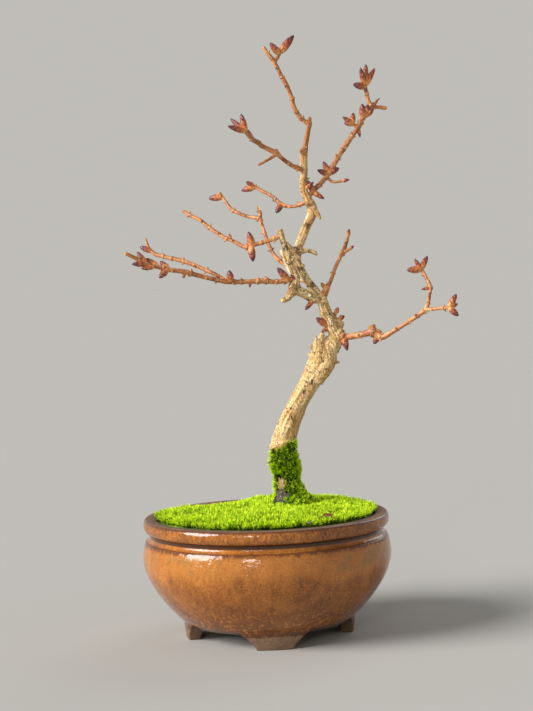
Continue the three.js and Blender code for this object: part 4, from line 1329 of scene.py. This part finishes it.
def carpet_height(x, y):
    """Height of the moss bed: a dome with low cushions, thin where it borders the bare strip."""
    radius = math.hypot(x, y)
    dome = 76.6 - 2.1 * max((radius - 42) / 25, 0) ** 1.6
    cushions = noise.noise(Vector((x * 0.09, y * 0.09, 1.7))) * 1.3
    cushions += noise.noise(Vector((x * 0.25, y * 0.25, 5.2))) * 0.8
    away = math.remainder(math.atan2(y, x) - BARE_AZIMUTH, math.tau) / (BARE_SPREAD * 1.7)
    thin = 6.8 * math.exp(-(away**2)) * min(max((radius - 20) / 32, 0), 1)
    return dome - thin + cushions * min((70 - radius) / 14, 1)


def model_moss_bed():
    """A turned dome, drawn in along the bare strip."""
    bm = bmesh.new()
    section = [(r, 76) for r in (0, 6, 12, 18, 24, 30, 36, 42, 48, 53, 57, 60, 63, 65.5)]
    turned(bm, section + [(66.2, 71), (66, 67), (40, 67), (0, 67)], 96)
    for vert in bm.verts:
        azimuth = math.atan2(vert.co.y, vert.co.x)
        drawn = carpet_edge(azimuth) / BED_RADIUS
        vert.co.x *= drawn
        vert.co.y *= drawn
        if vert.co.z > 75:
            vert.co.z = carpet_height(vert.co.x, vert.co.y)
    # The carpet bed is darkish: partly old moss, partly painted shade under the shoots.
    store_evenly(bm, 0.24, 0.5)
    return bm


hand_over(model_moss_bed(), "moss_bed", MOSS, ["moss_carpet"])


# %% Shoots over the carpet
def shoot_matrix(place, direction, height, width):
    """Stands a shoot at a place, along a direction, turned by chance about itself."""
    turn = UP.rotation_difference(direction) @ Quaternion(UP, chance.uniform(0, math.tau))
    size = Matrix.Diagonal((width, width, height, 1))
    return Matrix.Translation(place) @ turn.to_matrix().to_4x4() @ size


def carpet_shoots(count):
    places = []
    golden = math.pi * (3 - math.sqrt(5))
    for step in range(count):
        radius = BED_RADIUS * math.sqrt((step + 0.5) / count) + chance.uniform(-0.5, 0.5)
        azimuth = step * golden
        edge = carpet_edge(math.remainder(azimuth, math.tau))
        if radius > edge:
            continue
        x, y = radius * math.cos(azimuth), radius * math.sin(azimuth)
        if (Vector((x, y)) - TRUNK_FOOT).length < TRUNK_CLEARANCE:
            continue
        outward = Vector((x, y, 0)) / BED_RADIUS * (0.5 * max(radius / edge - 0.8, 0) / 0.2)
        lean = Vector((chance.gauss(0, 0.26), chance.gauss(0, 0.26), 1)) + outward
        height = chance.uniform(2.6, 4.9)
        spot = Vector((x, y, max(carpet_height(x, y) - 0.6, soil_height(x, y))))
        width = chance.uniform(2.8, 4.4)
        shade = chance.random()
        places.append((chance.randrange(4), shoot_matrix(spot, lean, height, width), shade))
    return places


carpet = carpet_shoots(12000)
print("shoots on the carpet:", len(carpet))
quarter = math.ceil(len(carpet) / 4)
for number in range(4):
    share = carpet[number * quarter : (number + 1) * quarter]
    scatter(f"moss_shoots_{number + 1}", MOSS, CARPET_SHOOTS, share)


# %% [markdown]
# ## Moss on the trunk
# The sleeve is the same moss on a wall: its shoots point outwards and up, longer and looser, and
# it spreads into a skirt where trunk meets ground. It leaves one window of bark and some dark
# roots bare.

# %% Sleeve
WINDOW_AZIMUTH = math.radians(-121)
ROOTS_AZIMUTH = math.radians(-139)
SPINE = [sample for sample in smooth_route(TRUNK[0], 0.5) if sample[0].z < 125]


def trunk_at(z):
    """The trunk's middle and radius at a height."""
    place, radius, _ = min(SPINE, key=lambda sample: abs(sample[0].z - z))
    return place, radius


def bare_patch(azimuth, z):
    """Whether the sleeve leaves the trunk bare here: a bark window and roots, at the front left."""
    torn = 0.3 * noise.noise(Vector((azimuth * 2.5, z * 0.3, 4)))
    torn += 0.2 * noise.noise(Vector((azimuth * 6, z * 0.9, 9)))
    level = z + 8 * torn
    window = abs(math.remainder(azimuth - WINDOW_AZIMUTH, math.tau)) < 0.36 + torn
    roots = abs(math.remainder(azimuth - ROOTS_AZIMUTH, math.tau)) < 0.6 + torn
    return (window and 86 < level < 95.5) or (roots and level < 88)


def sleeve_top(azimuth):
    """The sleeve ends lower on the left, under the knee, than on the right."""
    ragged = 2.5 * noise.noise(Vector((math.cos(azimuth) * 2, math.sin(azimuth) * 2, 8)))
    return 114.8 + 3.6 * math.cos(azimuth - math.radians(-20)) + ragged


def skirt(z, azimuth):
    """Extra reach of the moss near the ground, more to the right and the front."""
    low = max((92 - z) / 13, 0)
    return low**1.6 * (4.5 + 4 * math.cos(azimuth - math.radians(-30)))


def sleeve_bed():
    """The trunk's foot, a little fatter, as a dark bed under the shoots: painted shade in the gaps.
    """
    bm = bmesh.new()
    heights = range(76, 122, 2)
    places = [trunk_at(z)[0] for z in heights]
    radii = [trunk_at(z)[1] + 0.5 + max((90 - z) / 14, 0) ** 2 * 3 for z in heights]
    add_tube(bm, places, radii, 8)
    melted(bm, 0.8, 1)
    for vert in bm.verts:
        place = trunk_at(vert.co.z)[0]
        azimuth = math.atan2(vert.co.y - place.y, vert.co.x - place.x)
        if bare_patch(azimuth, vert.co.z) or vert.co.z > sleeve_top(azimuth) - 0.5:
            vert.co = Vector((*vert.co.lerp(place, 0.18).xy, vert.co.z))
        vert.co += Vector(noise.noise_vector(vert.co * 0.4)) * 0.5
    # Very dark: painted shade in the gaps of the sleeve, over the old moss.
    store_evenly(bm, 0.05, 0.3)
    return bm


hand_over(sleeve_bed(), "moss_sleeve_bed", MOSS, ["moss_sleeve"])


def sleeve_shoots(count):
    places = []
    while len(places) < count:
        z = 78 + 42 * chance.random() ** 1.25
        azimuth = chance.uniform(-math.pi, math.pi)
        if z > sleeve_top(azimuth) or bare_patch(azimuth, z):
            continue
        place, radius = trunk_at(z)
        out = Vector((math.cos(azimuth), math.sin(azimuth), 0))
        bulge = 1.1 * noise.noise(Vector((out.x * 1.5, out.y * 1.5, z * 0.14)))
        bulge += 1.7 * math.exp(-(((z - 101) / 6) ** 2)) - 0.9
        reach = radius + bulge + skirt(z, azimuth) * chance.random()
        spot = Vector((place.x, place.y, z)) + out * reach
        lean = out * chance.uniform(0.6, 1.1) + UP * chance.uniform(0.2, 0.9)
        lean += Vector((chance.gauss(0, 0.25), chance.gauss(0, 0.25), 0))
        height = chance.uniform(2, 4)
        # Painted light: shoots towards the sleeve's left and right sides and on its low skirt get a
        # brighter shade.
        shade = 0.5 + 0.5 * out.x**2 + 0.3 * max((88 - z) / 10, 0) + chance.gauss(0, 0.34)
        matrix = shoot_matrix(spot, lean, height, chance.uniform(2.6, 4))
        places.append((chance.randrange(4), matrix, shade))
    return places


scatter("moss_sleeve_shoots", MOSS, SLEEVE_SHOOTS, sleeve_shoots(2300))


# %% [markdown]
# ## What the wind brought
# Two small strays make the moss look real: a scrap of purple leaf on its red stalk, and a grey
# pebble. Old joints also hold curls of dead bark. Each is a small grid or ball, bent by moving its
# points.

# %% Leaf scrap and pebble
def model_leaf_scrap():
    bm = bmesh.new()
    bmesh.ops.create_grid(bm, x_segments=8, y_segments=5, size=1)
    for vert in bm.verts:
        x, y = vert.co.x, vert.co.y
        outline = 1.6 * math.sqrt(max(1.02 - x * x, 0.02))
        vert.co = (x * 3, y * outline, 0.7 * y * y + 0.5 * math.sin(2 * x))
    bmesh.ops.solidify(bm, geom=bm.faces[:], thickness=0.18)
    stalk = [(2.6, 0, 0.4), (4.4, 0.5, 1), (6, 0.4, 0.9), (7.4, 1.2, 0.4)]
    add_tube(bm, stalk, [0.22, 0.2, 0.18, 0.15], 2)
    turn = Matrix.Rotation(math.radians(26), 4, "X") @ Matrix.Rotation(math.radians(200), 4, "Z")
    bm.transform(Matrix.Translation((36, -52, carpet_height(36, -52) + 3.4)) @ turn)
    store_evenly(bm, 0.6, 0.5)
    return bm


def model_pebble():
    bm = bmesh.new()
    bmesh.ops.create_icosphere(bm, subdivisions=3, radius=1.3)
    for vert in bm.verts:
        vert.co *= 1 + 0.25 * noise.noise(vert.co * 0.9)
        vert.co.z *= 0.7
    bm.transform(Matrix.Translation((24.5, -63.5, carpet_height(24.5, -63.5) + 2.2)))
    return bm


PEBBLE = plain_finish("grey_pebble", colour(70, 66, 66), colour(150, 144, 138), 0.7)
hand_over(model_leaf_scrap(), "leaf_scrap", BUD)
hand_over(model_pebble(), "pebble", PEBBLE)


# %% Curls of bark
def model_curl(place, direction, length, width):
    """A curl of dead bark: a thin sheet, arched across and bent along."""
    bm = bmesh.new()
    bmesh.ops.create_grid(bm, x_segments=4, y_segments=6, size=1)
    for vert in bm.verts:
        across, along = vert.co.x, (vert.co.y + 1) / 2
        ragged = 1 - 0.5 * along + 0.3 * noise.noise(Vector((across * 2, along * 5, place[2])))
        arch = 0.35 * (1 - across * across) + 0.5 * along * along
        vert.co = (across * width * ragged, arch * width, along * length)
    bmesh.ops.solidify(bm, geom=bm.faces[:], thickness=0.12)
    turn = UP.rotation_difference(Vector(direction)).to_matrix().to_4x4()
    spin = Matrix.Rotation(chance.uniform(0, math.tau), 4, "Z")
    bm.transform(Matrix.Translation(place) @ turn @ spin)
    return bm


CURLS = [
    ([39.2, -4.8, 192.4], [-0.4, -0.6, 1], 2.2, 0.8), ([38, -5.4, 182], [0.4, -0.4, 1], 4, 1.5),
    ([22.6, 0, 234.6], [-0.8, -0.3, 1], 3.2, 1), ([20.6, -2, 236], [-0.6, -0.8, 0.5], 2.6, 0.9),
    ([3.2, 20.8, 261], [-0.4, -0.3, 1], 3.4, 0.8), ([2.6, 21, 259.6], [-1, -0.4, 0.5], 2.4, 0.6),
    ([53, 13.4, 232.6], [-1, -0.3, 0.3], 2.6, 0.7), ([53.2, 13.6, 233.4], [-0.7, -0.3, 1], 2, 0.6),
    ([43.6, 3.4, 214], [-1, -0.5, 0.6], 2.2, 0.7), ([77, 22.6, 323], [0.6, 0, 1], 4.2, 0.6),
    ([58, 14, 299.6], [0.5, -0.6, 0.6], 1.8, 0.7), ([31, 0.6, 294.6], [-0.6, -0.6, 0.5], 1.8, 0.8),
    ([18.6, 4.6, 224.6], [-0.9, -0.2, 0.6], 3.6, 1.1),
    ([16.8, 6.6, 230], [-0.6, -0.6, 0.8], 3.8, 1),
]
curls = bmesh.new()
for curl in CURLS:
    absorb(curls, model_curl(*curl))
hand_over(curls, "bark_curls", DEADWOOD)


# %% [markdown]
# ## Floor, light and camera
# A studio sweep would hide the object from behind, so the floor is one large pale disc under a
# pale sky, and the two meet so far away, in nearly the same tone, that no edge is seen.

# %% Floor
def floor_finish():
    f = Finish(bpy.data.materials.new("pale_floor"))
    chalk = colour(182, 181, 178)
    return f.done({"Base Color": chalk, "Roughness": 1.0, "Specular IOR Level": 0.0})


FLOOR_RADIUS_METRES = 40

floor_mesh = bpy.data.meshes.new("floor")
floor_bm = bmesh.new()
bmesh.ops.create_circle(floor_bm, cap_ends=True, segments=96, radius=FLOOR_RADIUS_METRES)
floor_bm.to_mesh(floor_mesh)
floor_bm.free()
floor_mesh.materials.append(floor_finish())
floor = bpy.data.objects.new("floor", floor_mesh)
bpy.context.collection.objects.link(floor)


# %% [markdown]
# The lights are suns with wide discs: each acts like a window so far away that the floor is evenly
# lit from every side. The key comes low from the left, as through a window, and shapes trunk and
# belly. A weak one in front puts a glint on the glaze, and one behind keeps the far side readable.

# %% Lights
def sun(name, source, breadth, strength, tint):
    """A far light that shines from the side of `source`, with a disc `breadth` degrees wide."""
    light = bpy.data.lights.new(name, "SUN")
    light.angle = math.radians(breadth)
    light.energy = strength
    light.color = tint
    holder = bpy.data.objects.new(name, light)
    holder.rotation_euler = Vector(source).to_track_quat("Z", "Y").to_euler()
    bpy.context.collection.objects.link(holder)


sun("window_light", (-0.86, -0.34, 0.46), 36, 4.9, (1, 0.98, 0.94))
sun("front_light", (-0.3, -1, 0.3), 9, 0.4, (1, 0.97, 0.93))
sun("rear_light", (0.6, 0.9, 0.7), 40, 0.5, (1, 1, 1))


def sky():
    f = Finish(bpy.data.worlds.new("pale_sky"))
    direction = f.node("ShaderNodeTexCoord", output="Generated")
    height = f.part(direction, "Z")
    glow = f.ramp(height, (0.25, (0.524, 0.511, 0.474, 1)), (0.7, (0.24, 0.24, 0.24, 1)))
    background = f.node("ShaderNodeBackground", {}, {"Color": glow, "Strength": 1.0})
    f.node("ShaderNodeOutputWorld", {}, {"Surface": background})
    return f.holder


bpy.context.scene.world = sky()
bpy.context.scene.view_settings.view_transform = "Standard"

# %% [markdown]
# The camera stands about a metre in front and 22 centimetres above the table, looks slightly down,
# and is held with a small tilt of the hand. Its focal length is given in lines of the finished
# image, which has 711 of them from top to bottom.

# %% Camera
CAMERA_DISTANCE = 1.0417
CAMERA_HEIGHT = 0.2196
CAMERA_SIDE = -0.0065
CAMERA_PITCH = 0.0463
CAMERA_YAW = 0.01
CAMERA_ROLL = -0.0362
IMAGE_LINES = 711
FOCAL_LINES = 1700

camera_data = bpy.data.cameras.new("camera")
camera_data.sensor_width = 36
camera_data.lens = FOCAL_LINES * camera_data.sensor_width / IMAGE_LINES
camera = bpy.data.objects.new("camera", camera_data)
camera.matrix_world = (
    Matrix.Translation((POT_X + CAMERA_SIDE, POT_Y - CAMERA_DISTANCE, CAMERA_HEIGHT))
    @ Matrix.Rotation(-CAMERA_YAW, 4, "Z")
    @ Matrix.Rotation(math.pi / 2 - CAMERA_PITCH, 4, "X")
    @ Matrix.Rotation(CAMERA_ROLL, 4, "Z")
)
bpy.context.collection.objects.link(camera)
bpy.context.scene.camera = camera
